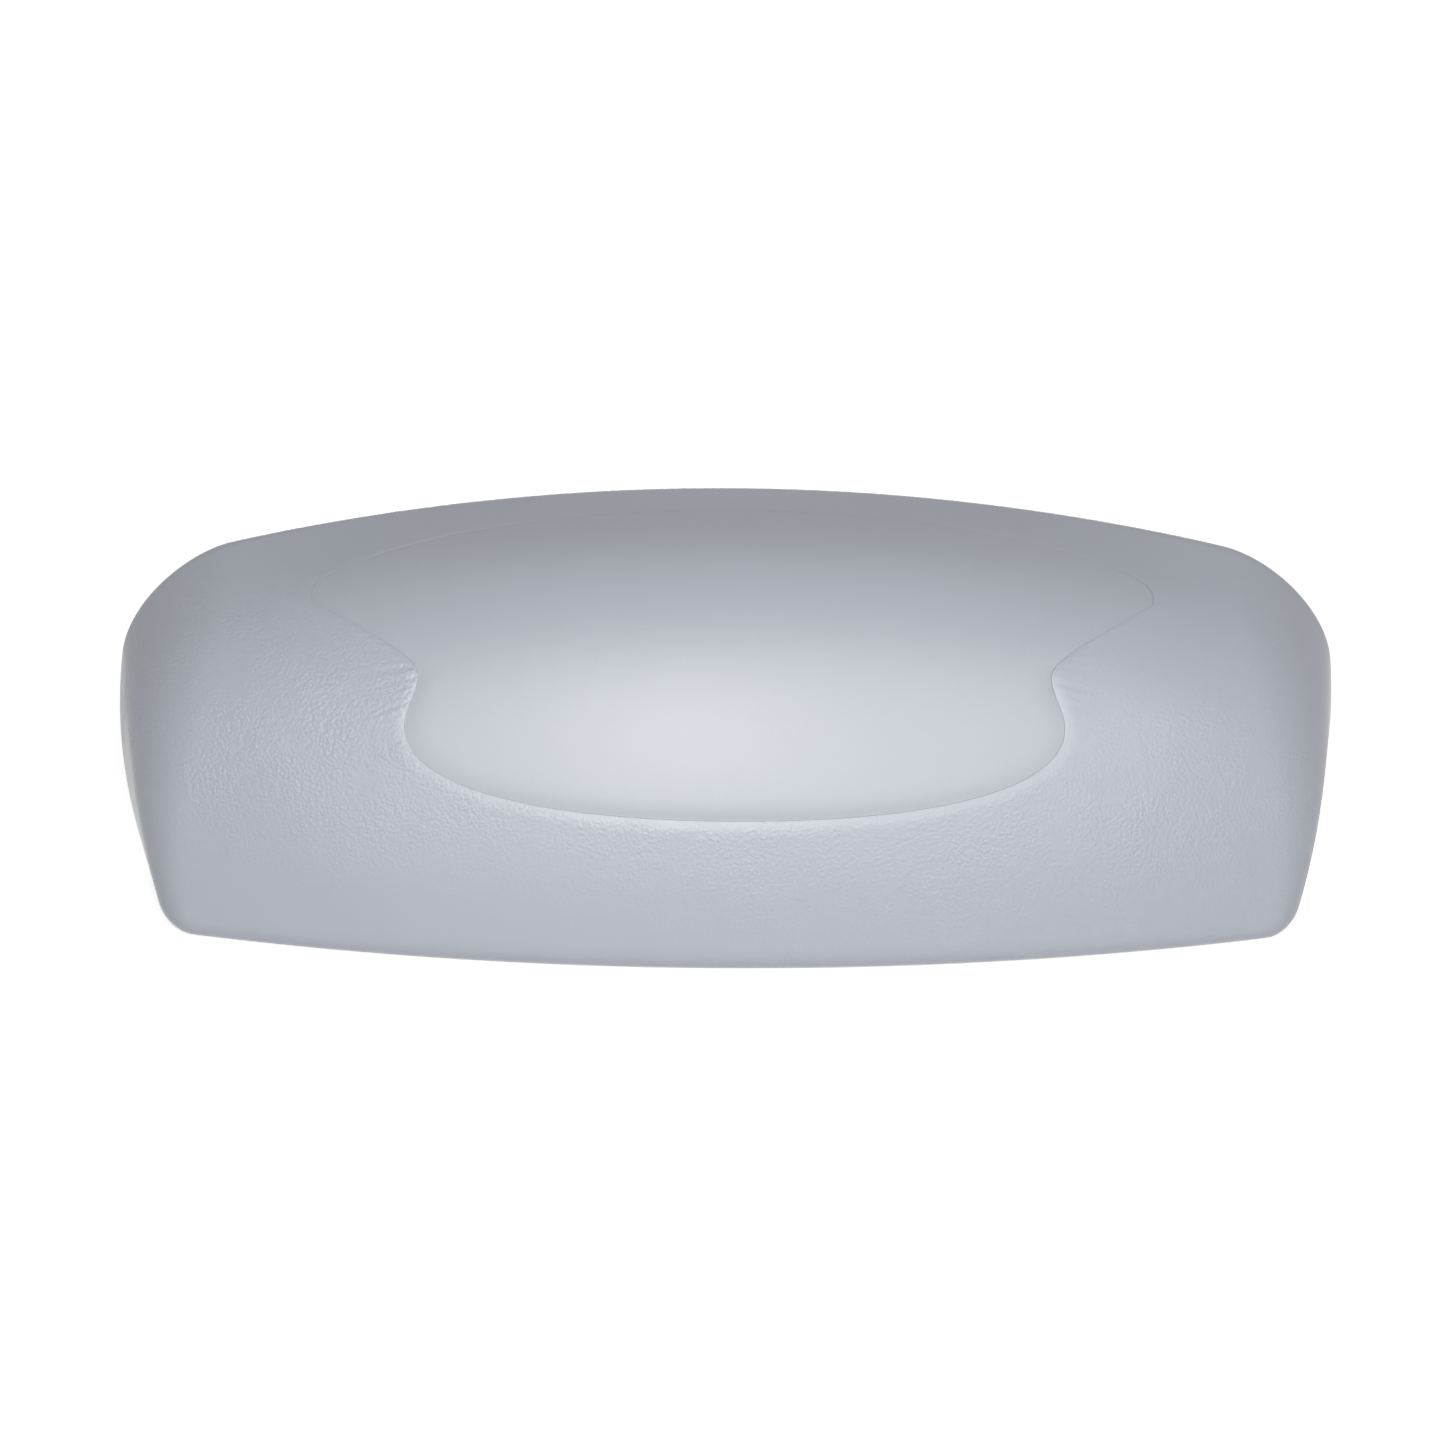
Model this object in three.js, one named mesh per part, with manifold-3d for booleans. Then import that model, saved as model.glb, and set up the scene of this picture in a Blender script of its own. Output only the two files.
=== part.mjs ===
// Hot tub headrest: a foam pillow in a grained vinyl skin, with a smooth panel let into its face.
// Two pins on its rigid back plate plug into two sockets in the tub wall.
// Millimetres. X runs across the tub wall, +Y into the wall and +Z up.
// The origin lies on the wall's front face, midway between the two pins.

import * as THREE from 'three';
import { mergeVertices } from 'three/addons/utils/BufferGeometryUtils.js';
import Module from 'manifold-3d';

const wasm = await Module();
wasm.setup();

// Pillow body
const HALF_WIDTH = 153.8; // mid width to the side wall at its fullest, on the wall plane
const UNDERSIDE = -50; // height of the flat underside
const CROWN_HEIGHT = 51.9; // height of the top at mid width, on the wall plane
const CHIN_DEPTH = 76; // wall to the chin edge, before it is rounded
const FACE_LEAN = THREE.MathUtils.degToRad(22); // how far the face tips back from upright
const FACE_BOW = 431; // radius of the face seen from above
const FACE_CROWN = 235; // radius of the face seen from the side
const FACE_CROWN_AT = 42; // fullest place, measured up the face from the chin
const TOP_BOW = 540; // radius of the top seen from the front
const TOP_FALL = THREE.MathUtils.degToRad(10); // how far the top falls towards the face at mid width
const TOP_FALL_END = THREE.MathUtils.degToRad(36); // how far it falls at the ends
const TOP_ROLL = 5; // softness of the roll from top to face at mid width
const TOP_ROLL_END = 4; // softness of that roll at the ends
const CHIN_ROUND = 6.7; // radius of the chin edge
const SIDE_ROUND_LOW = 5.9; // radius of the upright front corner at the underside
const SIDE_ROUND_HIGH = 23.7; // radius of that corner at the top
const RIM_ROUND = 4; // radius of the edge round the back
const SIDE_DRAFT = THREE.MathUtils.degToRad(8.8); // side walls close in towards the face
const SIDE_BOW = 134; // radius of the side walls seen from the front
const SIDE_BOW_AT = -8.6; // height at which the side walls are fullest

// Outline of the smooth panel, right half: across from mid width, and up the leaning face
const BOWL_BOTTOM = -36.4;
const BOWL_FLAT = 50; // reach of the bowl's flat stretch
const BOWL_HALF = 81.2;
const BOWL_SIDE = -13.5; // height at which the bowl is widest
const BOWL_CORNER = 14.5; // reach of the bowl's corner
const NOTCH_HALF = 77.8;
const NOTCH_UP = -1;
const NOTCH_ROUND = 4.5; // reach of the waist between bowl and notch
const WING_ROUND = 3; // reach of the bend from notch to wing
const WING_RUN = 13.4; // direction in which the wing's lower edge meets the tip
const WING_RISE = 7.4;
const TIP_HALF = 104.3;
const TIP_UP = 19;
const TIP_LOW_RUN = 0.9; // tip to the end of the wing's lower edge
const TIP_LOW_RISE = 2.4;
const TIP_HIGH_RUN = 2.8; // tip to the end of the panel's top edge
const TIP_HIGH_RISE = 4;
const LENS_TOP = 40.5;
const LENS_FLAT = 52; // reach of the flat stretch along the top
const LENS_RUN = 13.5; // direction in which the top edge leaves the tip
const LENS_RISE = 8.5;

// Crease between skin and panel
const CREASE_BOWL = 1.2; // how far the panel's edge lies below the skin, along the bowl
const CREASE_NOTCH = 1.4;
const CREASE_TIP = 0.5;
const CREASE_TOP = 0.4;
const CREASE_GAP = 0.4; // between the panel's edge and the skin's lip
const LIP_ROUND = 2.5; // reach of the lip's rounded edge
const LIP_SHARE = 0.4; // share of the crease that the rounding takes
const LIP_LIMIT = 0.5; // the rounding takes at most this share of the way to the ridge
const PANEL_EDGE_POWER = 5; // how late the panel rolls down to the crease

// Layers
const SKIN_THICK = 2.4;
const PANEL_THICK = 3;
const FIT_GAP = 0.3; // between pieces that bear on each other

// Back plate
const PIN_FROM_END = 39; // pin axis to the end of the hem's opening
const HEM_END = 38.8; // width of the hem at the ends of the opening
const HEM_LOW = 19; // width of the hem below the opening
const HEM_HIGH = 24; // width of the hem above the opening
const OPENING_CORNER = 18;
const HEM_CLEARANCE = 1; // between the hem's edge and the plate's raised middle
const PLATE_LAP = 8; // how far the plate's flange reaches behind the hem
const PLATE_WALL = 3;
const POCKET_RADIUS = 17; // dish in the plate that clears the socket's flange
const BOSS_RADIUS = 7;
const BOSS_FLOOR = 2.5; // material beyond the insert

// Sockets in the tub wall
const TUB_WALL = 6;
const GASKET_THICK = 1.5;
const GASKET_RADIUS = 14;
const FLANGE_RADIUS = 15;
const FLANGE_THICK = 2.2;
const BARREL_RADIUS = 9.5;
const BORE_RADIUS = 6.4;
const BARREL_SPARE = 6; // barrel left past the locknut
const SOCKET_FLOOR = 3;
const NUT_THICK = 7;
const NUT_RADIUS = 17; // mid point to a corner of the hexagon
const NUT_SIDES = 6;

// Pins
const PIN_CLEARANCE = 0.4; // round the pin in its bore, and between collar and socket flange
const COLLAR_RADIUS = 10;
const COLLAR_THICK = 1.3;
const PIN_END_CLEARANCE = 2; // pin tip to the socket's floor
const PIN_CHAMFER = 1.2;
const RING_SECTION = 0.9; // radius of the O-ring's section
const RING_CLEARANCE = 0.15; // between the O-ring and the bore
const RING_AT = 5; // wall plane to the O-ring's middle
const SCREW_RADIUS = 2;
const SCREW_HEAD_RADIUS = 3.6;
const SCREW_HEAD_THICK = 2.8;
const SCREW_SOCKET_RADIUS = 1.7;
const SCREW_SOCKET_DEPTH = 1.5;
const SCREW_SEAT = 5; // head seat below the pin's tip
const INSERT_WALL = 1;
const INSERT_LENGTH = 9;

// Fineness
const BOWL_COLUMNS = 6;
const NOTCH_COLUMNS = 3;
const WING_COLUMNS = 3;
const TIP_COLUMNS = 1; // on each side of the tip
const LOW_COLUMNS = 8; // from mid width to the one that runs to the lower corner
const FACE_RINGS = 4; // from the crease to the ridge round the face
const WALL_RINGS = 5; // from that ridge to the flat of the back
const PANEL_RINGS = 5;
const PATH_STEPS = 120;
const EDGE_STEPS = 20;
const OPENING_STEPS = 960;
const CORNER_SEGMENTS = 5;
const STEP_LENGTH = 25; // a ring is worth this much length
const STEP_TURN = THREE.MathUtils.degToRad(25); // or this much turn
const TURN_SEGMENTS = 24;
const RING_SEGMENTS = 6;
const HALVINGS = 46;
const PROBE = 0.01;
const WELD = 1e-4;

const SKIN_RINGS = FACE_RINGS + WALL_RINGS;
const TIP_COLUMN = BOWL_COLUMNS + NOTCH_COLUMNS + WING_COLUMNS + TIP_COLUMNS;
const HALF_COLUMNS = 2 * TIP_COLUMN; // as many above the tip, so that both halves share the spine
const LENS_COLUMNS = HALF_COLUMNS - TIP_COLUMN - TIP_COLUMNS;

// Construction points inside the pillow, from which its surfaces are found
const HEART_DEPTH = -0.36 * CHIN_DEPTH;
const HEART_SPREAD = 0.75; // the heart follows a point across by this share
const RIDGE_SHARE = 0.4; // least share of an upper column that counts as face
const SPINE_SHARE = 0.72; // the panel's spine reaches this far towards its notches
const SPINE_RISE = 0.5; // its ends rise by this share of the way to the tips' height
const REACH = 2 * (HALF_WIDTH + CHIN_DEPTH + CROWN_HEIGHT - UNDERSIDE); // longer than any ray in the pillow
const FLAT_INSET = 1.5 * RIM_ROUND; // the back is flat this far in from its edge

const SPINE_HALF = SPINE_SHARE * NOTCH_HALF;
const SPINE_UP = (BOWL_BOTTOM + LENS_TOP) / 2;
const UP_FACE = new THREE.Vector3(0, Math.sin(FACE_LEAN), Math.cos(FACE_LEAN));
const OUT_OF_FACE = new THREE.Vector3(0, -Math.cos(FACE_LEAN), Math.sin(FACE_LEAN));

// Inside distance of two walls that meet in a rounded edge
function roundedMeet(a, b, radius) {
  const rest = Math.hypot(Math.max(radius - a, 0), Math.max(radius - b, 0));
  return Math.max(radius, Math.min(a, b)) - rest;
}

// Inside distance of two walls that roll softly into each other
function softMeet(a, b, softness) {
  return Math.min(a, b) - softness * Math.log1p(Math.exp(-Math.abs(a - b) / softness));
}

// Inside distance of the pillow: zero on its surface and growing inwards
function insideDistance(p) {
  const rise = p.z - UNDERSIDE;
  const up = (p.y + CHIN_DEPTH) * Math.sin(FACE_LEAN) + rise * Math.cos(FACE_LEAN);
  const flatFace = (p.y + CHIN_DEPTH) * Math.cos(FACE_LEAN) - rise * Math.sin(FACE_LEAN);
  const bow = p.x ** 2 / (2 * FACE_BOW) * Math.cos(FACE_LEAN);
  const crown = ((up - FACE_CROWN_AT) ** 2 - FACE_CROWN_AT ** 2) / (2 * FACE_CROWN);
  const face = flatFace - bow - crown;
  const fall = THREE.MathUtils.lerp(TOP_FALL, TOP_FALL_END, (p.x / HALF_WIDTH) ** 2);
  const crest = CROWN_HEIGHT - p.x ** 2 / (2 * TOP_BOW);
  const top = (crest - p.z) * Math.cos(fall) + p.y * Math.sin(fall);
  const bulge = (p.z - SIDE_BOW_AT) ** 2 / (2 * SIDE_BOW);
  const side = HALF_WIDTH - Math.abs(p.x) + p.y * Math.tan(SIDE_DRAFT) - bulge;
  const endwards = THREE.MathUtils.smoothstep(Math.abs(p.x), 0, HALF_WIDTH);
  const roll = THREE.MathUtils.lerp(TOP_ROLL, TOP_ROLL_END, endwards);
  const upwards = THREE.MathUtils.smoothstep(p.z, UNDERSIDE, CROWN_HEIGHT);
  const corner = THREE.MathUtils.lerp(SIDE_ROUND_LOW, SIDE_ROUND_HIGH, upwards);
  const upper = softMeet(top, face, roll);
  const front = roundedMeet(upper, rise, CHIN_ROUND);
  return roundedMeet(roundedMeet(front, side, corner), -p.y, RIM_ROUND);
}

// Direction straight out of the pillow's surface
function outwards(p) {
  const slope = (axis) => {
    const ahead = p.clone();
    const behind = p.clone();
    ahead[axis] += PROBE;
    behind[axis] -= PROBE;
    return insideDistance(behind) - insideDistance(ahead);
  };
  return new THREE.Vector3(slope('x'), slope('y'), slope('z')).normalize();
}

// Point on the ray from start along direction where the inside distance falls to level
function castTo(start, direction, level) {
  const ray = direction.clone().normalize();
  const probe = new THREE.Vector3();
  let near = 0;
  let far = REACH;
  for (let step = 0; step < HALVINGS; step += 1) {
    const middle = (near + far) / 2;
    probe.copy(start).addScaledVector(ray, middle);
    if (insideDistance(probe) > level) near = middle;
    else far = middle;
  }
  return probe.copy(start).addScaledVector(ray, (near + far) / 2);
}

// Heights of the back's outline at mid width
const BACK_TOP = castTo(new THREE.Vector3(0, -RIM_ROUND, 0), new THREE.Vector3(0, 0, 1), 0).z;
const HEART_HEIGHT = (UNDERSIDE + BACK_TOP) / 2;

// Moves a point in or out, along the line from the pillow's heart, to a level below its surface
function onLevel(p, level) {
  const heart = new THREE.Vector3(p.x * HEART_SPREAD, HEART_DEPTH, HEART_HEIGHT);
  return castTo(heart, p.clone().sub(heart), level);
}

// Point of the surface straight out of the face from a point of the panel's drawing
function onFace(across, up) {
  const out = (up * UP_FACE.y + FLAT_INSET) / -OUT_OF_FACE.y;
  const start = new THREE.Vector3(across, 0, 0).addScaledVector(UP_FACE, up);
  return castTo(start.addScaledVector(OUT_OF_FACE, out), OUT_OF_FACE, 0);
}

// Shares out points along a line, closer together where the line turns
function spread(points, count) {
  const effort = [0];
  for (let i = 1; i < points.length; i += 1) {
    const run = points[i].clone().sub(points[i - 1]);
    const next = i + 1 < points.length ? points[i + 1].clone().sub(points[i]) : run;
    effort.push(effort[i - 1] + run.length() / STEP_LENGTH + run.angleTo(next) / STEP_TURN);
  }
  const shared = [];
  let i = 0;
  for (let n = 0; n <= count; n += 1) {
    const target = effort.at(-1) * n / count;
    while (i < points.length - 2 && effort[i + 1] < target) i += 1;
    const part = (target - effort[i]) / (effort[i + 1] - effort[i]);
    shared.push(points[i].clone().lerp(points[i + 1], THREE.MathUtils.clamp(part, 0, 1)));
  }
  return shared;
}

// Panel outline from the bowl's bottom, round the right hand tip, to the middle of the top
function panelCurves() {
  const at = (across, up) => new THREE.Vector2(across, up);
  const bowlEnd = at(BOWL_HALF, BOWL_SIDE);
  const notch = at(NOTCH_HALF, NOTCH_UP);
  const wingEnd = at(TIP_HALF - TIP_LOW_RUN, TIP_UP - TIP_LOW_RISE);
  const tip = at(TIP_HALF, TIP_UP);
  const lensEnd = at(TIP_HALF - TIP_HIGH_RUN, TIP_UP + TIP_HIGH_RISE);
  const bowl = new THREE.CubicBezierCurve(at(0, BOWL_BOTTOM), at(BOWL_FLAT, BOWL_BOTTOM),
    at(BOWL_HALF, BOWL_SIDE - BOWL_CORNER), bowlEnd);
  const waist = new THREE.CubicBezierCurve(bowlEnd, at(BOWL_HALF, BOWL_SIDE + NOTCH_ROUND),
    at(NOTCH_HALF, NOTCH_UP - NOTCH_ROUND), notch);
  const wing = new THREE.CubicBezierCurve(notch, at(NOTCH_HALF, NOTCH_UP + WING_ROUND),
    at(wingEnd.x - WING_RUN, wingEnd.y - WING_RISE), wingEnd);
  const tipLow = new THREE.QuadraticBezierCurve(wingEnd,
    at(TIP_HALF, wingEnd.y + TIP_LOW_RUN * WING_RISE / WING_RUN), tip);
  const tipHigh = new THREE.QuadraticBezierCurve(tip,
    at(TIP_HALF, lensEnd.y - TIP_HIGH_RUN * LENS_RISE / LENS_RUN), lensEnd);
  const lens = new THREE.CubicBezierCurve(lensEnd, at(lensEnd.x - LENS_RUN, lensEnd.y + LENS_RISE),
    at(LENS_FLAT, LENS_TOP), at(0, LENS_TOP));
  return [
    { curve: bowl, columns: BOWL_COLUMNS, from: CREASE_BOWL, to: CREASE_BOWL },
    { curve: waist, columns: NOTCH_COLUMNS, from: CREASE_BOWL, to: CREASE_NOTCH },
    { curve: wing, columns: WING_COLUMNS, from: CREASE_NOTCH, to: CREASE_TIP },
    { curve: tipLow, columns: TIP_COLUMNS, from: CREASE_TIP, to: CREASE_TIP },
    { curve: tipHigh, columns: TIP_COLUMNS, from: CREASE_TIP, to: CREASE_TIP },
    { curve: lens, columns: LENS_COLUMNS, from: CREASE_TIP, to: CREASE_TOP },
  ];
}

// Stations of the right half of the crease: place, inset place for the panel, and depth
function creaseStations() {
  const stations = [];
  for (const { curve, columns, from, to } of panelCurves()) {
    for (let n = stations.length ? 1 : 0; n <= columns; n += 1) {
      const along = n / columns;
      const place = curve.getPoint(along);
      const forward = curve.getTangent(along);
      const inset = new THREE.Vector2(-forward.y, forward.x).multiplyScalar(CREASE_GAP).add(place);
      stations.push({
        place: onFace(place.x, place.y),
        inset: onFace(inset.x, inset.y),
        depth: THREE.MathUtils.lerp(from, to, along),
      });
    }
  }
  return stations;
}

// Shares out the lower columns of a half outline, so that one of them runs to its lower corner
function lowerStations(points) {
  const cornerness = points.map((p) => p.x - p.z);
  const corner = cornerness.indexOf(Math.max(...cornerness));
  const low = spread(points.slice(0, corner + 1), LOW_COLUMNS);
  const side = spread(points.slice(corner), TIP_COLUMN - LOW_COLUMNS);
  return [...low, ...side.slice(1)];
}

// Shares out all the columns of a half outline: the lower ones end at a height on its side
function outlineStations(points, sideHeight) {
  const side = points.findIndex((p) => p.x > 0 && p.z >= sideHeight);
  const high = spread(points.slice(side), HALF_COLUMNS - TIP_COLUMN);
  return [...lowerStations(points.slice(0, side + 1)), ...high.slice(1)];
}

// Right half of the body's outline, where the edge round the back begins
function rimPoints() {
  const frame = [
    new THREE.Vector3(0, -RIM_ROUND, UNDERSIDE),
    new THREE.Vector3(HALF_WIDTH, -RIM_ROUND, UNDERSIDE),
    new THREE.Vector3(HALF_WIDTH, -RIM_ROUND, BACK_TOP),
    new THREE.Vector3(0, -RIM_ROUND, BACK_TOP),
  ];
  const points = [];
  for (let edge = 0; edge < frame.length - 1; edge += 1) {
    for (let n = edge ? 1 : 0; n <= PATH_STEPS; n += 1) {
      const p = frame[edge].clone().lerp(frame[edge + 1], n / PATH_STEPS);
      const heart = new THREE.Vector3(p.x * HEART_SPREAD, -RIM_ROUND, HEART_HEIGHT);
      points.push(castTo(heart, p.sub(heart), 0));
    }
  }
  return points;
}

// The hem's opening in the back, and the plate's outlines that follow it
const OPENING_HALF = HALF_WIDTH - HEM_END;
const OPENING_LOW = UNDERSIDE + HEM_LOW;
const OPENING_HIGH = BACK_TOP - HEM_HIGH;

function openingShape(grow) {
  const half = OPENING_HALF + grow;
  const low = OPENING_LOW - grow;
  const high = OPENING_HIGH + grow;
  const r = OPENING_CORNER + grow;
  const shape = new THREE.Shape();
  shape.moveTo(0, low);
  shape.lineTo(half - r, low);
  shape.absarc(half - r, low + r, r, -Math.PI / 2, 0);
  shape.lineTo(half, high - r);
  shape.absarc(half - r, high - r, r, 0, Math.PI / 2);
  shape.lineTo(r - half, high);
  shape.absarc(r - half, high - r, r, Math.PI / 2, Math.PI);
  shape.lineTo(-half, low + r);
  shape.absarc(r - half, low + r, r, Math.PI, 3 * Math.PI / 2);
  shape.closePath();
  return shape;
}

function openingPoints() {
  const spaced = openingShape(0).getSpacedPoints(OPENING_STEPS);
  const half = spaced.filter((p, index) => index <= spaced.length / 2 && p.x >= 0);
  half.push(new THREE.Vector2(0, OPENING_HIGH));
  return half.map((p) => new THREE.Vector3(p.x, 0, p.y));
}

// Mirrors the right half of a ring to make the whole ring, anticlockwise seen from the front
function wholeRing(half) {
  const mirrored = half.slice(1, -1).reverse().map((p) => new THREE.Vector3(-p.x, p.y, p.z));
  return [...half, ...mirrored];
}

// Closed surface through rings of points: every ring has as many points, in the same order.
// Its rings run outwards up to turnsBack and inwards from there, and the quads of both runs,
// and of both hands, are split along the same diagonals, so that parallel layers stay apart.
function ringGeometry(rings, turnsBack, joinEnds) {
  const around = rings[0].length;
  const positions = rings.flat().flatMap((p) => [p.x, p.y, p.z]);
  const faces = [];
  const last = joinEnds ? rings.length : rings.length - 1;
  for (let ring = 0; ring < last; ring += 1) {
    for (let column = 0; column < around; column += 1) {
      const a = ring * around + column;
      const d = ring * around + (column + 1) % around;
      const b = ((ring + 1) % rings.length) * around + column;
      const c = ((ring + 1) % rings.length) * around + (column + 1) % around;
      const crossed = (ring >= turnsBack) !== (column >= around / 2);
      if (crossed) faces.push(a, b, d, b, c, d);
      else faces.push(a, b, c, a, c, d);
    }
  }
  const geometry = new THREE.BufferGeometry();
  geometry.setAttribute('position', new THREE.Float32BufferAttribute(positions, 3));
  geometry.setIndex(faces);
  return mergeVertices(geometry, WELD);
}

// Surface points above the straight way from start to end
function surfaceWay(start, end, steps) {
  const way = [];
  for (let n = 0; n <= steps; n += 1) {
    way.push(onLevel(start.clone().lerp(end, n / steps), 0));
  }
  return way;
}

// Share of the straight way from start to end above which the surface lies on the ridge,
// where it faces as much sideways as out of the face
function ridgeShare(start, end) {
  const sideways = outwards(end);
  let near = 0;
  let far = 1;
  for (let step = 0; step < HALVINGS; step += 1) {
    const middle = (near + far) / 2;
    const out = outwards(onLevel(start.clone().lerp(end, middle), 0));
    if (out.dot(sideways) < out.dot(OUT_OF_FACE)) near = middle;
    else far = middle;
  }
  return (near + far) / 2;
}

// Ridge round the lower part of the face, from mid width to the side
function ridgePoints(ends) {
  return ends.map((end) => {
    const start = onFace(end.x * SPINE_SHARE, SPINE_UP);
    return onLevel(start.clone().lerp(end, ridgeShare(start, end)), 0);
  });
}

// Shared columns: the crease, the ridge, the edge of the back and the hem's edge
const crease = creaseStations();
const rimLine = rimPoints();
const sideHeight = (HEART_HEIGHT + crease[TIP_COLUMN].place.z) / 2;
const rim = outlineStations(rimLine, sideHeight);
const ridge = lowerStations(ridgePoints(rimLine.filter((p) => p.z <= sideHeight)));
const hemEdge = outlineStations(openingPoints(), (OPENING_LOW + OPENING_HIGH) / 2);

// Surface points of one column, from the crease over the ridge to the flat of the back.
// Up to the lower corner it meets the ridge at its own station. From there to the tip it
// eases over to the straight way out, because above the tip the crease runs behind the ridge.
function columnPoints(column) {
  const start = crease[column].place;
  const end = rim[column];
  const inwards = hemEdge[column].clone().sub(end).setY(0).normalize();
  const flat = end.clone().addScaledVector(inwards, FLAT_INSET).setY(0);
  const straight = start.clone().lerp(end, Math.max(ridgeShare(start, end), RIDGE_SHARE));
  const ease = THREE.MathUtils.smoothstep(column, LOW_COLUMNS, TIP_COLUMN);
  const station = ridge[Math.min(column, TIP_COLUMN)];
  const turn = onLevel(station.clone().lerp(onLevel(straight, 0), ease), 0);
  const lip = Math.min(LIP_ROUND, LIP_LIMIT * start.distanceTo(turn));
  const overFace = surfaceWay(start, turn, PATH_STEPS).filter((p) => p.distanceTo(start) > lip);
  const overWall = [...surfaceWay(turn, end, PATH_STEPS), ...surfaceWay(end, flat, EDGE_STEPS).slice(1)];
  return [start, ...spread(overFace, FACE_RINGS), ...spread(overWall, WALL_RINGS).slice(1)];
}

const columns = crease.map((station, column) => columnPoints(column));

// The columns of the panel's lower and upper halves end on the same points of its spine
function spineShare(column) {
  const lower = column / TIP_COLUMN;
  const upper = (HALF_COLUMNS - column) / (HALF_COLUMNS - TIP_COLUMN);
  return Math.sin(Math.min(lower, upper) * Math.PI / 2);
}

// Point of the panel's spine, which rises towards its ends
function spinePoint(share) {
  const up = THREE.MathUtils.lerp(SPINE_UP, TIP_UP, SPINE_RISE * share ** 2);
  return onFace(SPINE_HALF * share, up);
}

function skinRing(ring, level) {
  return wholeRing(columns.map((points) => onLevel(points[ring], level)));
}

// A ring of the panel or of what lies below it, out from the spine to an edge
function panelRing(share, edge, below) {
  const half = crease.map((station, column) => {
    const level = station.depth * share ** PANEL_EDGE_POWER + below;
    const way = spinePoint(spineShare(column)).lerp(station[edge], share);
    return onLevel(way, level);
  });
  return wholeRing(half);
}

// Grained skin: lip, outside, hem and inside, as one closed band
function skinGeometry() {
  const lip = wholeRing(crease.map((station) => onLevel(station.place, station.depth * LIP_SHARE)));
  const outside = [];
  const inside = [];
  for (let ring = 1; ring <= SKIN_RINGS + 1; ring += 1) {
    outside.push(skinRing(ring, 0));
    if (ring > 1) inside.unshift(skinRing(ring, SKIN_THICK));
  }
  const hemOut = wholeRing(hemEdge);
  const hemIn = wholeRing(hemEdge.map((p) => p.clone().setY(-SKIN_THICK)));
  const lipIn = skinRing(0, SKIN_THICK);
  const run = [lip, ...outside, hemOut];
  return ringGeometry([...run, hemIn, ...inside, lipIn], run.length, true);
}

// Smooth panel: a sheet of even thickness between the spine and the crease
function panelGeometry() {
  const rings = [];
  for (let ring = 0; ring <= PANEL_RINGS; ring += 1) {
    rings.push(panelRing(Math.sqrt(ring / PANEL_RINGS), 'inset', 0));
  }
  for (let ring = PANEL_RINGS; ring >= 0; ring -= 1) {
    rings.push(panelRing(Math.sqrt(ring / PANEL_RINGS), 'inset', PANEL_THICK));
  }
  return ringGeometry(rings, PANEL_RINGS + 1, false);
}

// Manifold solid of a closed geometry, for joins and cuts
function solidOf(geometry) {
  const bare = geometry.clone();
  bare.deleteAttribute('normal');
  bare.deleteAttribute('uv');
  const welded = mergeVertices(bare, WELD);
  return new wasm.Manifold(new wasm.Mesh({
    numProp: 3,
    vertProperties: new Float32Array(welded.attributes.position.array),
    triVerts: new Uint32Array(welded.index.array),
  }));
}

function geometryOf(solid) {
  const mesh = solid.getMesh();
  const geometry = new THREE.BufferGeometry();
  geometry.setAttribute('position', new THREE.BufferAttribute(mesh.vertProperties, 3));
  geometry.setIndex(new THREE.BufferAttribute(mesh.triVerts, 1));
  return geometry;
}

// Solid of revolution about a pin's axis: radius and depth pairs, anticlockwise
function turned(profile) {
  return new THREE.LatheGeometry(profile.map(([radius, y]) => new THREE.Vector2(radius, y)), TURN_SEGMENTS);
}

// Plain cylinder along a pin's axis
function rod(radius, from, to) {
  return turned([[0, from], [radius, from], [radius, to], [0, to]]);
}

// Tube along a pin's axis
function tube(inner, outer, from, to) {
  return turned([[inner, from], [outer, from], [outer, to], [inner, to], [inner, from]]);
}

// Flat slab of an outline in the wall's plane, from one depth to another
function slab(shape, from, to) {
  const options = { depth: to - from, bevelEnabled: false, curveSegments: CORNER_SEGMENTS };
  return new THREE.ExtrudeGeometry(shape, options).rotateX(Math.PI / 2).translate(0, to, 0);
}

// Depths of the stack on a pin's axis, from the wall's face forwards and backwards
const FLANGE_BACK = -GASKET_THICK - FIT_GAP;
const FLANGE_FRONT = FLANGE_BACK - FLANGE_THICK;
const COLLAR_BACK = FLANGE_FRONT - PIN_CLEARANCE;
const COLLAR_FRONT = COLLAR_BACK - COLLAR_THICK;
const POCKET_FLOOR = COLLAR_FRONT - FIT_GAP;
const BOSS_FRONT = POCKET_FLOOR - PLATE_WALL;
const INSERT_BACK = POCKET_FLOOR - FIT_GAP;
const INSERT_FRONT = INSERT_BACK - INSERT_LENGTH;
const BOSS_END = INSERT_FRONT - FIT_GAP - BOSS_FLOOR;
const BARREL_END = TUB_WALL + NUT_THICK + BARREL_SPARE;
const BORE_END = BARREL_END - SOCKET_FLOOR;
const PIN_END = BORE_END - PIN_END_CLEARANCE;
const HEAD_SEAT = PIN_END - SCREW_SEAT;
const FLANGE_PLATE_BACK = -SKIN_THICK - FIT_GAP;
const FLANGE_PLATE_FRONT = FLANGE_PLATE_BACK - PLATE_WALL;
const PIN_RADIUS = BORE_RADIUS - PIN_CLEARANCE;
const SCREW_HOLE = SCREW_RADIUS + FIT_GAP;
const INSERT_RADIUS = SCREW_HOLE + INSERT_WALL;
const INSERT_HOLE = INSERT_RADIUS + FIT_GAP;
const PIN_OUT = OPENING_HALF - PIN_FROM_END; // mid width to a pin's axis
const PIN_SIDES = [-PIN_OUT, PIN_OUT];

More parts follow.
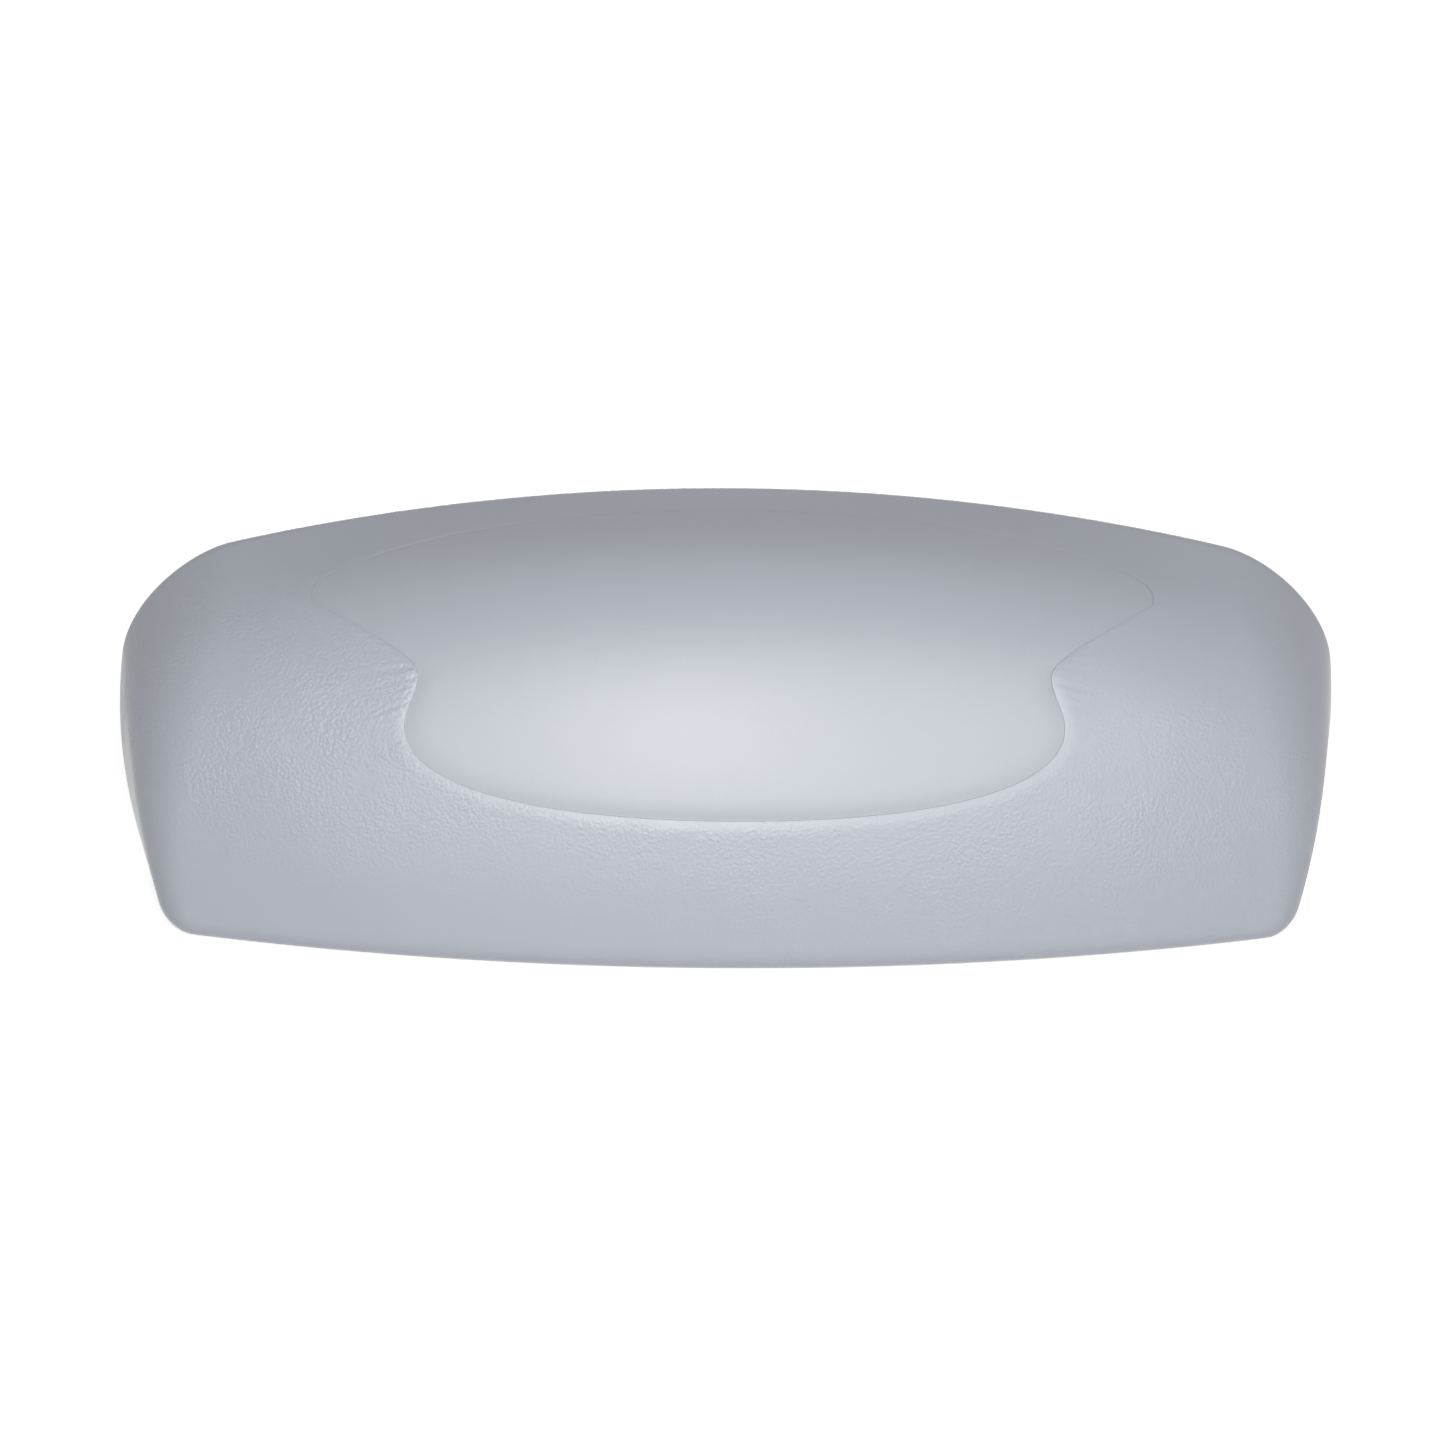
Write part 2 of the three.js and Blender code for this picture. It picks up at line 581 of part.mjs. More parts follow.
// Back plate, grown by a clearance where the foam has to clear it
function plateSolid(grow) {
  const middle = openingShape(-HEM_CLEARANCE + grow);
  const hollow = openingShape(-HEM_CLEARANCE - PLATE_WALL - grow);
  const flange = openingShape(PLATE_LAP + grow);
  let plate = solidOf(slab(flange, FLANGE_PLATE_FRONT - grow, FLANGE_PLATE_BACK + grow));
  plate = plate.add(solidOf(slab(middle, FLANGE_PLATE_FRONT - grow, 0)));
  plate = plate.subtract(solidOf(slab(hollow, FLANGE_PLATE_FRONT - PLATE_WALL, -PLATE_WALL - grow)));
  for (const x of PIN_SIDES) {
    const dish = rod(POCKET_RADIUS + PLATE_WALL + grow, BOSS_FRONT - grow, 0).translate(x, 0, 0);
    const boss = rod(BOSS_RADIUS + grow, BOSS_END - grow, BOSS_FRONT + PLATE_WALL / 2).translate(x, 0, 0);
    plate = plate.add(solidOf(dish)).add(solidOf(boss));
  }
  return plate;
}

function backPlateGeometry() {
  let plate = plateSolid(0);
  for (const x of PIN_SIDES) {
    const pocket = rod(POCKET_RADIUS, POCKET_FLOOR, PLATE_WALL).translate(x, 0, 0);
    const insertHole = rod(INSERT_HOLE, INSERT_FRONT - FIT_GAP, PLATE_WALL).translate(x, 0, 0);
    plate = plate.subtract(solidOf(pocket)).subtract(solidOf(insertHole));
  }
  return geometryOf(plate);
}

// Foam: fills the skin and lies under the panel, with room for the back plate
function foamGeometry() {
  const below = SKIN_THICK + FIT_GAP;
  const rings = [];
  for (let ring = 0; ring <= PANEL_RINGS; ring += 1) {
    rings.push(panelRing(Math.sqrt(ring / PANEL_RINGS), 'place', PANEL_THICK + FIT_GAP));
  }
  for (let ring = 0; ring <= SKIN_RINGS + 1; ring += 1) {
    if (ring !== 1) rings.push(skinRing(ring, below));
  }
  const backSpine = crease.map((station, column) => new THREE.Vector3(
    OPENING_HALF * spineShare(column), -below, HEART_HEIGHT));
  rings.push(wholeRing(backSpine));
  return geometryOf(solidOf(ringGeometry(rings, rings.length, false)).subtract(plateSolid(FIT_GAP)));
}

// Peg with a collar, a groove for its O-ring and a counterbore for its screw
const RING_RADIUS = BORE_RADIUS - RING_CLEARANCE - RING_SECTION;
const GROOVE_RADIUS = RING_RADIUS - RING_SECTION - FIT_GAP;
const GROOVE_HALF = RING_SECTION + FIT_GAP;

function pinGeometry() {
  const headHole = SCREW_HEAD_RADIUS + FIT_GAP;
  return turned([
    [SCREW_HOLE, COLLAR_FRONT],
    [COLLAR_RADIUS, COLLAR_FRONT],
    [COLLAR_RADIUS, COLLAR_BACK],
    [PIN_RADIUS, COLLAR_BACK],
    [PIN_RADIUS, RING_AT - GROOVE_HALF],
    [GROOVE_RADIUS, RING_AT - GROOVE_HALF],
    [GROOVE_RADIUS, RING_AT + GROOVE_HALF],
    [PIN_RADIUS, RING_AT + GROOVE_HALF],
    [PIN_RADIUS, PIN_END - PIN_CHAMFER],
    [PIN_RADIUS - PIN_CHAMFER, PIN_END],
    [headHole, PIN_END],
    [headHole, HEAD_SEAT],
    [SCREW_HOLE, HEAD_SEAT],
    [SCREW_HOLE, COLLAR_FRONT],
  ]);
}

function oRingGeometry() {
  const ring = new THREE.TorusGeometry(RING_RADIUS, RING_SECTION, RING_SEGMENTS, TURN_SEGMENTS);
  return ring.rotateX(Math.PI / 2).translate(0, RING_AT, 0);
}

// Cap screw: head in the pin's counterbore, shank through the pin into the insert
function screwGeometry() {
  const headFront = HEAD_SEAT + FIT_GAP;
  const headBack = headFront + SCREW_HEAD_THICK;
  const bolt = turned([
    [0, INSERT_FRONT],
    [SCREW_RADIUS, INSERT_FRONT],
    [SCREW_RADIUS, headFront],
    [SCREW_HEAD_RADIUS, headFront],
    [SCREW_HEAD_RADIUS, headBack],
    [0, headBack],
  ]);
  const key = slab(hexagon(SCREW_SOCKET_RADIUS), headBack - SCREW_SOCKET_DEPTH, headBack + SCREW_HEAD_THICK);
  return geometryOf(solidOf(bolt).subtract(solidOf(key)));
}

function hexagon(radius) {
  const shape = new THREE.Shape();
  for (let corner = 0; corner < NUT_SIDES; corner += 1) {
    const angle = corner * 2 * Math.PI / NUT_SIDES;
    const x = radius * Math.cos(angle);
    const z = radius * Math.sin(angle);
    if (corner) shape.lineTo(x, z);
    else shape.moveTo(x, z);
  }
  shape.closePath();
  return shape;
}

function insertGeometry() {
  return tube(SCREW_HOLE, INSERT_RADIUS, INSERT_FRONT, INSERT_BACK);
}

// Blind socket with a flange in front of the tub wall
function socketGeometry() {
  return turned([
    [BORE_RADIUS, FLANGE_FRONT],
    [FLANGE_RADIUS, FLANGE_FRONT],
    [FLANGE_RADIUS, FLANGE_BACK],
    [BARREL_RADIUS, FLANGE_BACK],
    [BARREL_RADIUS, BARREL_END],
    [0, BARREL_END],
    [0, BORE_END],
    [BORE_RADIUS, BORE_END],
    [BORE_RADIUS, FLANGE_FRONT],
  ]);
}

function gasketGeometry() {
  return tube(BARREL_RADIUS + FIT_GAP, GASKET_RADIUS, -GASKET_THICK, 0);
}

// Hexagon nut behind the tub wall
function locknutGeometry() {
  const blank = solidOf(slab(hexagon(NUT_RADIUS), TUB_WALL, TUB_WALL + NUT_THICK));
  const bore = rod(BARREL_RADIUS + FIT_GAP, TUB_WALL - PLATE_WALL, TUB_WALL + NUT_THICK + PLATE_WALL);
  return geometryOf(blank.subtract(solidOf(bore)));
}

// Finishes
function finish(color, roughness, metalness = 0) {
  return new THREE.MeshStandardMaterial({ color, roughness, metalness });
}

const grainedVinyl = finish('rgb(178, 182, 192)', 0.55);
const smoothVinyl = finish('rgb(180, 184, 194)', 0.4);
const foam = finish('rgb(214, 208, 190)', 0.95);
const greyPlastic = finish('rgb(120, 124, 130)', 0.5);
const blackPlastic = finish('rgb(44, 46, 50)', 0.5);
const rubber = finish('rgb(28, 28, 30)', 0.8);
const steel = finish('rgb(190, 192, 194)', 0.3, 1);
const brass = finish('rgb(196, 160, 92)', 0.35, 1);

function piece(name, geometry, material) {
  const mesh = new THREE.Mesh(geometry, material);
  mesh.name = name;
  return mesh;
}

// Assembly: the pillow plugs into the wall's sockets
const wallSockets = new THREE.Group();
const pillow = new THREE.Group();
pillow.add(
  piece('vinyl_skin', skinGeometry(), grainedVinyl),
  piece('head_panel', panelGeometry(), smoothVinyl),
  piece('foam_core', foamGeometry(), foam),
  piece('back_plate', backPlateGeometry(), blackPlastic),
);

for (const x of PIN_SIDES) {
  const hand = x < 0 ? 'left' : 'right';
  const onPin = new THREE.Group();
  onPin.position.x = x;
  onPin.add(
    piece(`mount_pin_${hand}`, pinGeometry(), greyPlastic),
    piece(`pin_o_ring_${hand}`, oRingGeometry(), rubber),
    piece(`pin_screw_${hand}`, screwGeometry(), steel),
    piece(`brass_insert_${hand}`, insertGeometry(), brass),
  );
  pillow.add(onPin);
  const inWall = new THREE.Group();
  inWall.position.x = x;
  inWall.add(
    piece(`socket_cup_${hand}`, socketGeometry(), greyPlastic),
    piece(`socket_gasket_${hand}`, gasketGeometry(), rubber),
    piece(`socket_locknut_${hand}`, locknutGeometry(), blackPlastic),
  );
  wallSockets.add(inWall);
}

const headrest = new THREE.Group();
headrest.add(wallSockets, pillow);

export default headrest;
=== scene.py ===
"""Hot tub headrest: a foam pillow in a grained vinyl skin with a smooth panel let into its face.

The pillow plugs into two sockets in the tub wall. Metres: X runs across the wall, +Y into it, +Z up.
"""

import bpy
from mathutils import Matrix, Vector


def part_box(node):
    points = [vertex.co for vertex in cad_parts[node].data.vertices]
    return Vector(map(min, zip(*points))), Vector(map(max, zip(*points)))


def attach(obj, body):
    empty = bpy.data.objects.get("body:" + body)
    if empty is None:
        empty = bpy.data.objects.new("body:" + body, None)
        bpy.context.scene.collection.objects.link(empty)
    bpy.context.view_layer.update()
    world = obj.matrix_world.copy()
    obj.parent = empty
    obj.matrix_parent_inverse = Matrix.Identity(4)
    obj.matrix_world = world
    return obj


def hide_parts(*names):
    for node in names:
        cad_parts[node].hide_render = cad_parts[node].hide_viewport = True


bl_info = {
    "name": "Hot tub headrest",
    "version": (1, 0, 0),
    "blender": (4, 5, 0),
    "location": "3D View > Sidebar > Headrest",
    "description": "Builds a spa pillow with its skin, panel, foam, back plate, pins and wall sockets",
    "category": "Add Mesh",
}

import math
import bmesh
import bpy
import numpy as np
from bpy.props import FloatProperty, FloatVectorProperty, IntProperty, PointerProperty
from mathutils import Matrix, Vector

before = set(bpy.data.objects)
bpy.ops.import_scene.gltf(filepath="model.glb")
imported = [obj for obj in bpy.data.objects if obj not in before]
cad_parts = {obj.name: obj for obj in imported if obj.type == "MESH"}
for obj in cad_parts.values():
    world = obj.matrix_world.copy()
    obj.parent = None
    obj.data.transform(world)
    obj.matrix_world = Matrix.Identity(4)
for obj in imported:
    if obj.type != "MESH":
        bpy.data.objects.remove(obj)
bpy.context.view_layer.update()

HALVINGS = 36  # times that a ray's stretch is halved
PROBE = 1e-5  # step along a curve that gives its direction
MERGE = 1e-7  # points closer than this are one
TINY = 1e-8  # keeps a divisor off nought


# Sizes and colours that a user would change

def length(label, words, default):
    """A size in metres."""
    return FloatProperty(name=label, description=words, default=default, unit="LENGTH", precision=5)


def angle(label, words, degrees):
    """An angle, shown in degrees."""
    return FloatProperty(name=label, description=words, default=math.radians(degrees), unit="ROTATION")


def amount(label, words, default):
    """A plain number."""
    return FloatProperty(name=label, description=words, default=default, precision=4)


def watts(label, words, default):
    """A light's power."""
    return FloatProperty(name=label, description=words, default=default, unit="POWER")


def count(label, words, default):
    """A whole number of columns or rings."""
    return IntProperty(name=label, description=words, default=default, min=1)


def tint(label, words, default):
    """A colour in linear light."""
    return FloatVectorProperty(
        name=label, description=words, default=default, size=3, subtype="COLOR", min=0, max=1)


class PillowForm(bpy.types.PropertyGroup):
    """Sizes of the pillow's body."""

    half_width: length("Half width", "Mid width to the side wall at its fullest, on the wall plane", 0.1538)
    underside: length("Underside", "Height of the flat underside", -0.050)
    crown_height: length("Crown height", "Height of the top at mid width, on the wall plane", 0.0519)
    chin_depth: length("Chin depth", "Wall to the chin edge, before it is rounded", 0.076)
    face_lean: angle("Face lean", "How far the face tips back from upright", 22)
    face_bow: length("Face bow", "Radius of the face seen from above", 0.431)
    face_crown: length("Face crown", "Radius of the face seen from the side", 0.235)
    face_crown_at: length("Face crown at", "Fullest place, measured up the face from the chin", 0.042)
    top_bow: length("Top bow", "Radius of the top seen from the front", 0.540)
    top_fall: angle("Top fall", "How far the top falls towards the face at mid width", 10)
    top_fall_end: angle("Top fall at the ends", "How far it falls at the ends", 36)
    top_roll: length("Top roll", "Softness of the roll from top to face at mid width", 0.005)
    top_roll_end: length("Top roll at the ends", "Softness of that roll at the ends", 0.004)
    chin_round: length("Chin edge", "Radius of the chin edge", 0.0067)
    side_round_low: length("Low corner", "Radius of the upright front corner at the underside", 0.0059)
    side_round_high: length("High corner", "Radius of that corner at the top", 0.0237)
    rim_round: length("Rim edge", "Radius of the edge round the back", 0.004)
    side_draft: angle("Side draft", "How far the side walls close in towards the face", 8.8)
    side_bow: length("Side bow", "Radius of the side walls seen from the front", 0.134)
    side_bow_at: length("Side bow at", "Height at which the side walls are fullest", -0.0086)
    skin_thick: length("Skin thickness", "Thickness of the grained skin", 0.0024)
    hem_end: length("Hem at the ends", "Width of the hem at the ends of the opening in the back", 0.0388)
    hem_low: length("Hem below", "Width of the hem below that opening", 0.019)
    hem_high: length("Hem above", "Width of the hem above that opening", 0.024)
    hem_round: length("Hem edge", "Radius of the hem's edge at that opening", 0.0008)
    opening_corner: length("Opening corner", "Corner radius of that opening", 0.018)


class PanelForm(bpy.types.PropertyGroup):
    """Outline of the smooth panel, right half: across from mid width, and up the leaning face."""

    bowl_bottom: length("Bowl bottom", "Lowest place of the bowl", -0.0364)
    bowl_flat: length("Bowl flat", "Reach of the bowl's flat stretch", 0.050)
    bowl_half: length("Bowl half", "Half width of the bowl", 0.0812)
    bowl_side: length("Bowl side", "Height at which the bowl is widest", -0.0135)
    bowl_corner: length("Bowl corner", "Reach of the bowl's corner", 0.0145)
    notch_half: length("Notch half", "Half width at the notches", 0.0778)
    notch_up: length("Notch height", "Height of the notches", -0.001)
    notch_round: length("Notch round", "Reach of the waist between bowl and notch", 0.0045)
    wing_round: length("Wing round", "Reach of the bend from notch to wing", 0.0045)
    wing_run: length("Wing run", "Run of the wing's lower edge where it meets the tip", 0.0134)
    wing_rise: length("Wing rise", "Rise of that edge over the same stretch", 0.0074)
    tip_half: length("Tip half", "Half width at the tips", 0.1043)
    tip_up: length("Tip height", "Height of the tips", 0.019)
    tip_low_run: length("Tip low run", "Tip to the end of the wing's lower edge, across", 0.0009)
    tip_low_rise: length("Tip low rise", "Tip to the end of the wing's lower edge, up", 0.0024)
    tip_high_run: length("Tip high run", "Tip to the end of the top edge, across", 0.0028)
    tip_high_rise: length("Tip high rise", "Tip to the end of the top edge, up", 0.004)
    lens_top: length("Top height", "Height of the top edge at mid width", 0.0405)
    lens_flat: length("Top flat", "Reach of the flat stretch along the top", 0.052)
    lens_run: length("Top run", "Run of the top edge where it leaves the tip", 0.0135)
    lens_rise: length("Top rise", "Rise of that edge over the same stretch", 0.0085)
    bowl_share: amount("Crease at the bowl", "Share of the crease's full depth along the bowl", 1.0)
    side_share: amount("Crease at the side", "Share of that depth where the bowl is widest", 0.72)
    notch_share: amount("Crease at the notch", "Share of that depth at the notches", 0.80)
    tip_share: amount("Crease at the tip", "Share of that depth at the tips", 0.18)
    top_share: amount("Crease at the top", "Share of that depth along the top", 0.20)
    notch_swell: amount("Swell at the notch", "Share of the swell at the notches, with 1 at the bowl", 1.3)
    tip_swell: amount("Swell at the tip", "Share of the swell at the tips", 0.7)
    top_swell: amount("Swell at the top", "Share of the swell along the top", 0.2)
    top_ease: amount("Top ease", "Share of the top edge over which crease and swell fall off", 0.3)
    tuck: length("Tuck", "How far the panel's edge reaches in under the lip", 0.0003)
    overhang: length("Overhang", "How far the lip stands out over the panel's edge", 0.0006)
    lip_thick: length("Lip thickness", "Thickness of the lip where it hangs over", 0.0001)
    lip_fall: length("Lip fall", "How far the lip rolls down to its edge", 0.00028)
    lip_reach: length("Lip reach", "Width over which the lip rolls down", 0.0045)
    lip_edge: length("Lip edge", "Radius of the lip's edge", 0.0001)
    swell: length("Swell", "How far the skin rises towards the lip", 0.0004)
    swell_reach: length("Swell reach", "Width over which the skin rises", 0.025)
    roll: length("Roll", "How far the panel rolls down at its edge", 0.00022)
    roll_reach: length("Roll reach", "Width over which the panel rolls down", 0.005)
    wrinkle: length("Wrinkles", "Height of the small wrinkles in the skin round the notches", 0.00005)
    wrinkle_reach: length("Wrinkle reach", "Distance from the crease at which they are highest", 0.0022)
    wrinkle_run: length("Wrinkle run", "How far the wrinkles spread along the crease", 0.014)
    panel_thick: length("Panel thickness", "Thickness of the smooth panel", 0.003)
    spine_share: amount("Spine share", "The panel's spine reaches this far towards its notches", 0.72)
    spine_rise: amount("Spine rise", "Its ends rise by this share of the way to the tips' height", 0.5)


class HardwareForm(bpy.types.PropertyGroup):
    """Sizes of the back plate, the pins and the wall sockets."""

    fit_gap: length("Fit gap", "Gap between pieces that bear on each other", 0.0003)
    edge: length("Edges", "Rounding of moulded edges", 0.0008)
    hem_clearance: length("Hem clearance", "Hem's edge to the plate's raised middle", 0.001)
    plate_lap: length("Plate lap", "How far the plate's flange reaches behind the hem", 0.008)
    plate_wall: length("Plate wall", "Wall of the back plate", 0.003)
    pocket_radius: length("Pocket", "Radius of the dishes that clear the sockets", 0.017)
    boss_radius: length("Boss", "Radius of the bosses that hold the inserts", 0.007)
    collar_thick: length("Collar", "Thickness of a pin's collar", 0.0013)
    pin_radius: length("Pin radius", "Radius of a pin", 0.006)
    pin_chamfer: length("Pin chamfer", "Chamfer at a pin's tip", 0.0012)
    ring_radius: length("O-ring radius", "Radius of an O-ring, to the middle of its section", 0.00535)
    ring_section: length("O-ring section", "Radius of an O-ring's section", 0.0009)
    ring_at: length("O-ring place", "Wall plane to an O-ring's middle", 0.005)
    screw_radius: length("Screw", "Radius of a screw's thread", 0.002)
    head_thick: length("Screw head", "Thickness of a screw's head", 0.0028)
    plain_shank: length("Plain shank", "Stretch under a screw's head that has no thread", 0.005)
    head_seat: length("Head seat", "Wall plane to the seat of a screw's head", 0.009)
    key_radius: length("Key", "Radius of the hexagon in a screw's head, to a corner", 0.0017)
    key_depth: length("Key depth", "Depth of that hexagon", 0.0015)
    bore_radius: length("Bore", "Radius of a socket's bore", 0.0064)
    bore_end: length("Bore end", "Wall plane to the floor of a socket's bore", 0.016)
    barrel_radius: length("Barrel", "Radius of a socket's thread", 0.0095)
    flange_thick: length("Socket flange", "Thickness of a socket's flange", 0.0022)
    barrel_pitch: length("Barrel pitch", "Pitch of a socket's thread", 0.002)
    barrel_thread: length("Barrel thread", "Depth of a socket's thread", 0.0006)
    screw_pitch: length("Screw pitch", "Pitch of a screw's thread", 0.0007)
    screw_thread: length("Screw thread", "Depth of a screw's thread", 0.00025)
    knurl: length("Knurl", "Depth of an insert's knurls", 0.00014)
    knurls: count("Knurls", "Knurls round an insert", 20)
    nut_face: length("Nut face", "Radius of a locknut's flat face inside its chamfer", 0.0142)


class Fineness(bpy.types.PropertyGroup):
    """Numbers of columns and rings of the soft pieces, for one half of the pillow."""

    bowl: count("Bowl columns", "Columns along the bowl", 84)
    waist: count("Waist columns", "Columns between bowl and notch", 28)
    wing: count("Wing columns", "Columns along the wing", 48)
    tip: count("Tip columns", "Columns on each side of the tip", 6)
    lip_rings: count("Lip rings", "Rings over the lip", 16)
    body_rings: count("Body rings", "Rings from the lip to the hem's edge", 84)
    lining_rings: count("Lining rings", "Rings on the inside of the skin", 14)
    roll_rings: count("Roll rings", "Rings over the panel's rolled edge", 14)
    panel_rings: count("Panel rings", "Rings from that edge to the panel's spine", 26)
    path_steps: count("Path steps", "Steps along a column before its rings are shared out", 160)
    foam_stride: count("Foam columns", "The foam takes one in so many of the skin's columns", 4)
    foam_rings: count("Foam rings", "Rings of the foam under the skin", 40)
    turns: count("Turned columns", "Columns round a turned piece", 96)


class Finishes(bpy.types.PropertyGroup):
    """Colours and textures."""

    vinyl: tint("Grained vinyl", "Colour of the grained skin", (0.402, 0.425, 0.478))
    panel: tint("Smooth vinyl", "Colour of the smooth panel", (0.403, 0.425, 0.473))
    foam: tint("Foam", "Colour of the foam", (0.67, 0.63, 0.51))
    black_plastic: tint("Black plastic", "Colour of the back plate and the locknuts", (0.025, 0.027, 0.031))
    grey_plastic: tint("Grey plastic", "Colour of the pins and the sockets", (0.19, 0.20, 0.22))
    rubber: tint("Rubber", "Colour of the O-rings and gaskets", (0.012, 0.012, 0.013))
    steel: tint("Steel", "Colour of the screws", (0.52, 0.52, 0.53))
    brass: tint("Brass", "Colour of the inserts", (0.55, 0.36, 0.11))
    grain: length("Grain", "Size of one pebble of the grain", 0.00085)
    grain_depth: length("Grain depth", "Height of the grain", 0.0002)
    vinyl_roughness: amount("Vinyl roughness", "Roughness of the grained skin", 0.28)
    panel_roughness: amount("Panel roughness", "Roughness of the smooth panel", 0.305)


class StageForm(bpy.types.PropertyGroup):
    """Floor, lights and camera."""

    distance: length("Camera distance", "Camera to the point it looks at", 1.7)
    azimuth: angle("Camera azimuth", "Turn of the camera about the pillow", -2.5)
    elevation: angle("Camera elevation", "Height of the camera over the horizon", 22)
    roll: angle("Camera roll", "Roll of the camera", 1.195)
    lens: amount("Lens", "Focal length in millimetres", 168.93)
    key_power: watts("Key light", "Power of the front light", 17.9)
    key_width: length("Key width", "Width of the front light", 2.0)
    key_height: length("Key height", "Height of the front light", 0.68)
    light_distance: length("Light distance", "Each light to the pillow", 1.6)
    key_azimuth: angle("Key azimuth", "Turn of the front light about the pillow", 4)
    key_elevation: angle("Key elevation", "Height of the front light over the horizon", 31)
    spot_power: watts("Spot light", "Power of the small light in front of the front light", 2.75)
    spot_size: length("Spot size", "Width of that light", 0.42)
    spot_azimuth: angle("Spot azimuth", "Turn of that light about the pillow", -2.3)
    spot_elevation: angle("Spot elevation", "Height of that light over the horizon", 31.4)
    low_power: watts("Low light", "Power of the low light in front", 5)
    low_height: length("Low height", "Height of the low light", 0.4)
    low_elevation: angle("Low elevation", "Height of the low light over the horizon", 17.4)
    back_power: watts("Back light", "Power of the light behind", 9)
    back_width: length("Back width", "Width of the light behind", 0.9)
    back_elevation: angle("Back elevation", "Height of the light behind over the horizon", 11)
    fill: amount("Fill", "Strength of the even light from all round", 0.036)
    fill_tint: tint("Fill colour", "Colour of that light", (1.0, 0.97, 0.92))
    floor: tint("Floor", "Colour of the floor", (0.80, 0.80, 0.80))
    floor_glow: amount("Floor glow", "Glow of the floor towards the eye, so that it reads white", 0.72)


# Body of the pillow

def smoothstep(value, low, high):
    """Eases from 0 at low to 1 at high: t squared times (3 - 2 t)."""
    t = np.clip((value - low) / (high - low), 0, 1)
    return t * t * (3 - 2 * t)


def rounded_meet(a, b, radius):
    """Inside distance of two walls meeting in a rounded edge of radius r.

    It is max(r, min(a, b)) less the length of (r - a, r - b), with neither of these under nought.
    """
    rest = np.hypot(np.maximum(radius - a, 0), np.maximum(radius - b, 0))
    return np.maximum(radius, np.minimum(a, b)) - rest


def soft_meet(a, b, softness):
    """Inside distance of two walls meeting in a soft roll: -s log(exp(-a / s) + exp(-b / s))."""
    return np.minimum(a, b) - softness * np.log1p(np.exp(-np.abs(a - b) / softness))


def inside_distance(form, p):
    """Inside distance of the pillow: zero on its surface and growing inwards.

    Face and sides are paraboloids, the top is a bowed sheet that falls forward, and underside and back are
    planes. Face and top meet in a soft roll, and the others in rounded edges.
    """
    x = p[..., 0]
    y = p[..., 1]
    z = p[..., 2]
    sine = math.sin(form.face_lean)
    cosine = math.cos(form.face_lean)
    rise = z - form.underside
    up = (y + form.chin_depth) * sine + rise * cosine
    bow = x ** 2 / (2 * form.face_bow) * cosine
    crown = ((up - form.face_crown_at) ** 2 - form.face_crown_at ** 2) / (2 * form.face_crown)
    face = (y + form.chin_depth) * cosine - rise * sine - bow - crown
    fall = form.top_fall + (form.top_fall_end - form.top_fall) * (x / form.half_width) ** 2
    crest = form.crown_height - x ** 2 / (2 * form.top_bow)
    top = (crest - z) * np.cos(fall) + y * np.sin(fall)
    bulge = (z - form.side_bow_at) ** 2 / (2 * form.side_bow)
    side = form.half_width - np.abs(x) + y * math.tan(form.side_draft) - bulge
    endwards = smoothstep(np.abs(x), 0, form.half_width)
    roll = form.top_roll + (form.top_roll_end - form.top_roll) * endwards
    upwards = smoothstep(z, form.underside, form.crown_height)
    corner = form.side_round_low + (form.side_round_high - form.side_round_low) * upwards
    upper = soft_meet(top, face, roll)
    front = rounded_meet(upper, rise, form.chin_round)
    return rounded_meet(rounded_meet(front, side, corner), -y, form.rim_round)


def cast(form, start, way, level):
    """Point on the ray from start along way where the inside distance falls to level, by halving."""
    ray = way / np.linalg.norm(way, axis=-1, keepdims=True)
    reach = 2 * (form.half_width + form.chin_depth + form.crown_height - form.underside)
    near = np.zeros(ray.shape[:-1])
    far = np.full(ray.shape[:-1], reach)
    for _ in range(HALVINGS):
        middle = (near + far) / 2
        inside = inside_distance(form, start + ray * middle[..., None]) > level
        near = np.where(inside, middle, near)
        far = np.where(inside, far, middle)
    return start + ray * ((near + far) / 2)[..., None]


def back_top(form):
    """Height of the back's outline at mid width."""
    start = np.array([0, -form.rim_round, 0])
    return float(cast(form, start, np.array([0.0, 0.0, 1.0]), 0)[2])


def heart_height(form):
    """Height of the construction points inside the pillow."""
    return (form.underside + back_top(form)) / 2


HEART_SHARE = -0.36  # depth of the construction points, as a share of the chin's depth
HEART_SPREAD = 0.75  # a construction point follows a point across by this share
FACE_START = 1.5  # rays out of the face start this many rim radii in front of the back


def on_level(form, p, level):
    """Moves points along their line from the pillow's heart to a level below its surface."""
    heart = np.stack([
        p[..., 0] * HEART_SPREAD,
        np.full(p.shape[:-1], HEART_SHARE * form.chin_depth),
        np.full(p.shape[:-1], heart_height(form)),
    ], axis=-1)
    return cast(form, heart, p - heart, level)


def on_face(form, across, up):
    """Points of the surface straight out of the leaning face from points of the panel's drawing."""
    sine = math.sin(form.face_lean)
    cosine = math.cos(form.face_lean)
    out_of_face = np.array([0.0, -cosine, sine])
    out = (up * sine + FACE_START * form.rim_round) / cosine
    start = np.stack([across, up * sine - out * cosine, up * cosine + out * sine], axis=-1)
    return cast(form, start, np.broadcast_to(out_of_face, start.shape), 0)


# Lines on the pillow

def bezier(points, share):
    """Point of a Bezier curve: the points blended two by two, over and over, by the share."""
    blend = [np.broadcast_to(np.asarray(p, float), share.shape + (2,)) for p in points]
    while len(blend) > 1:
        blend = [a + (b - a) * share[:, None] for a, b in zip(blend[:-1], blend[1:])]
    return blend[0]


def half_columns(fine):
    """Columns of one half below the panel's tip, and as many above it."""
    return fine.bowl + fine.waist + fine.wing + fine.tip


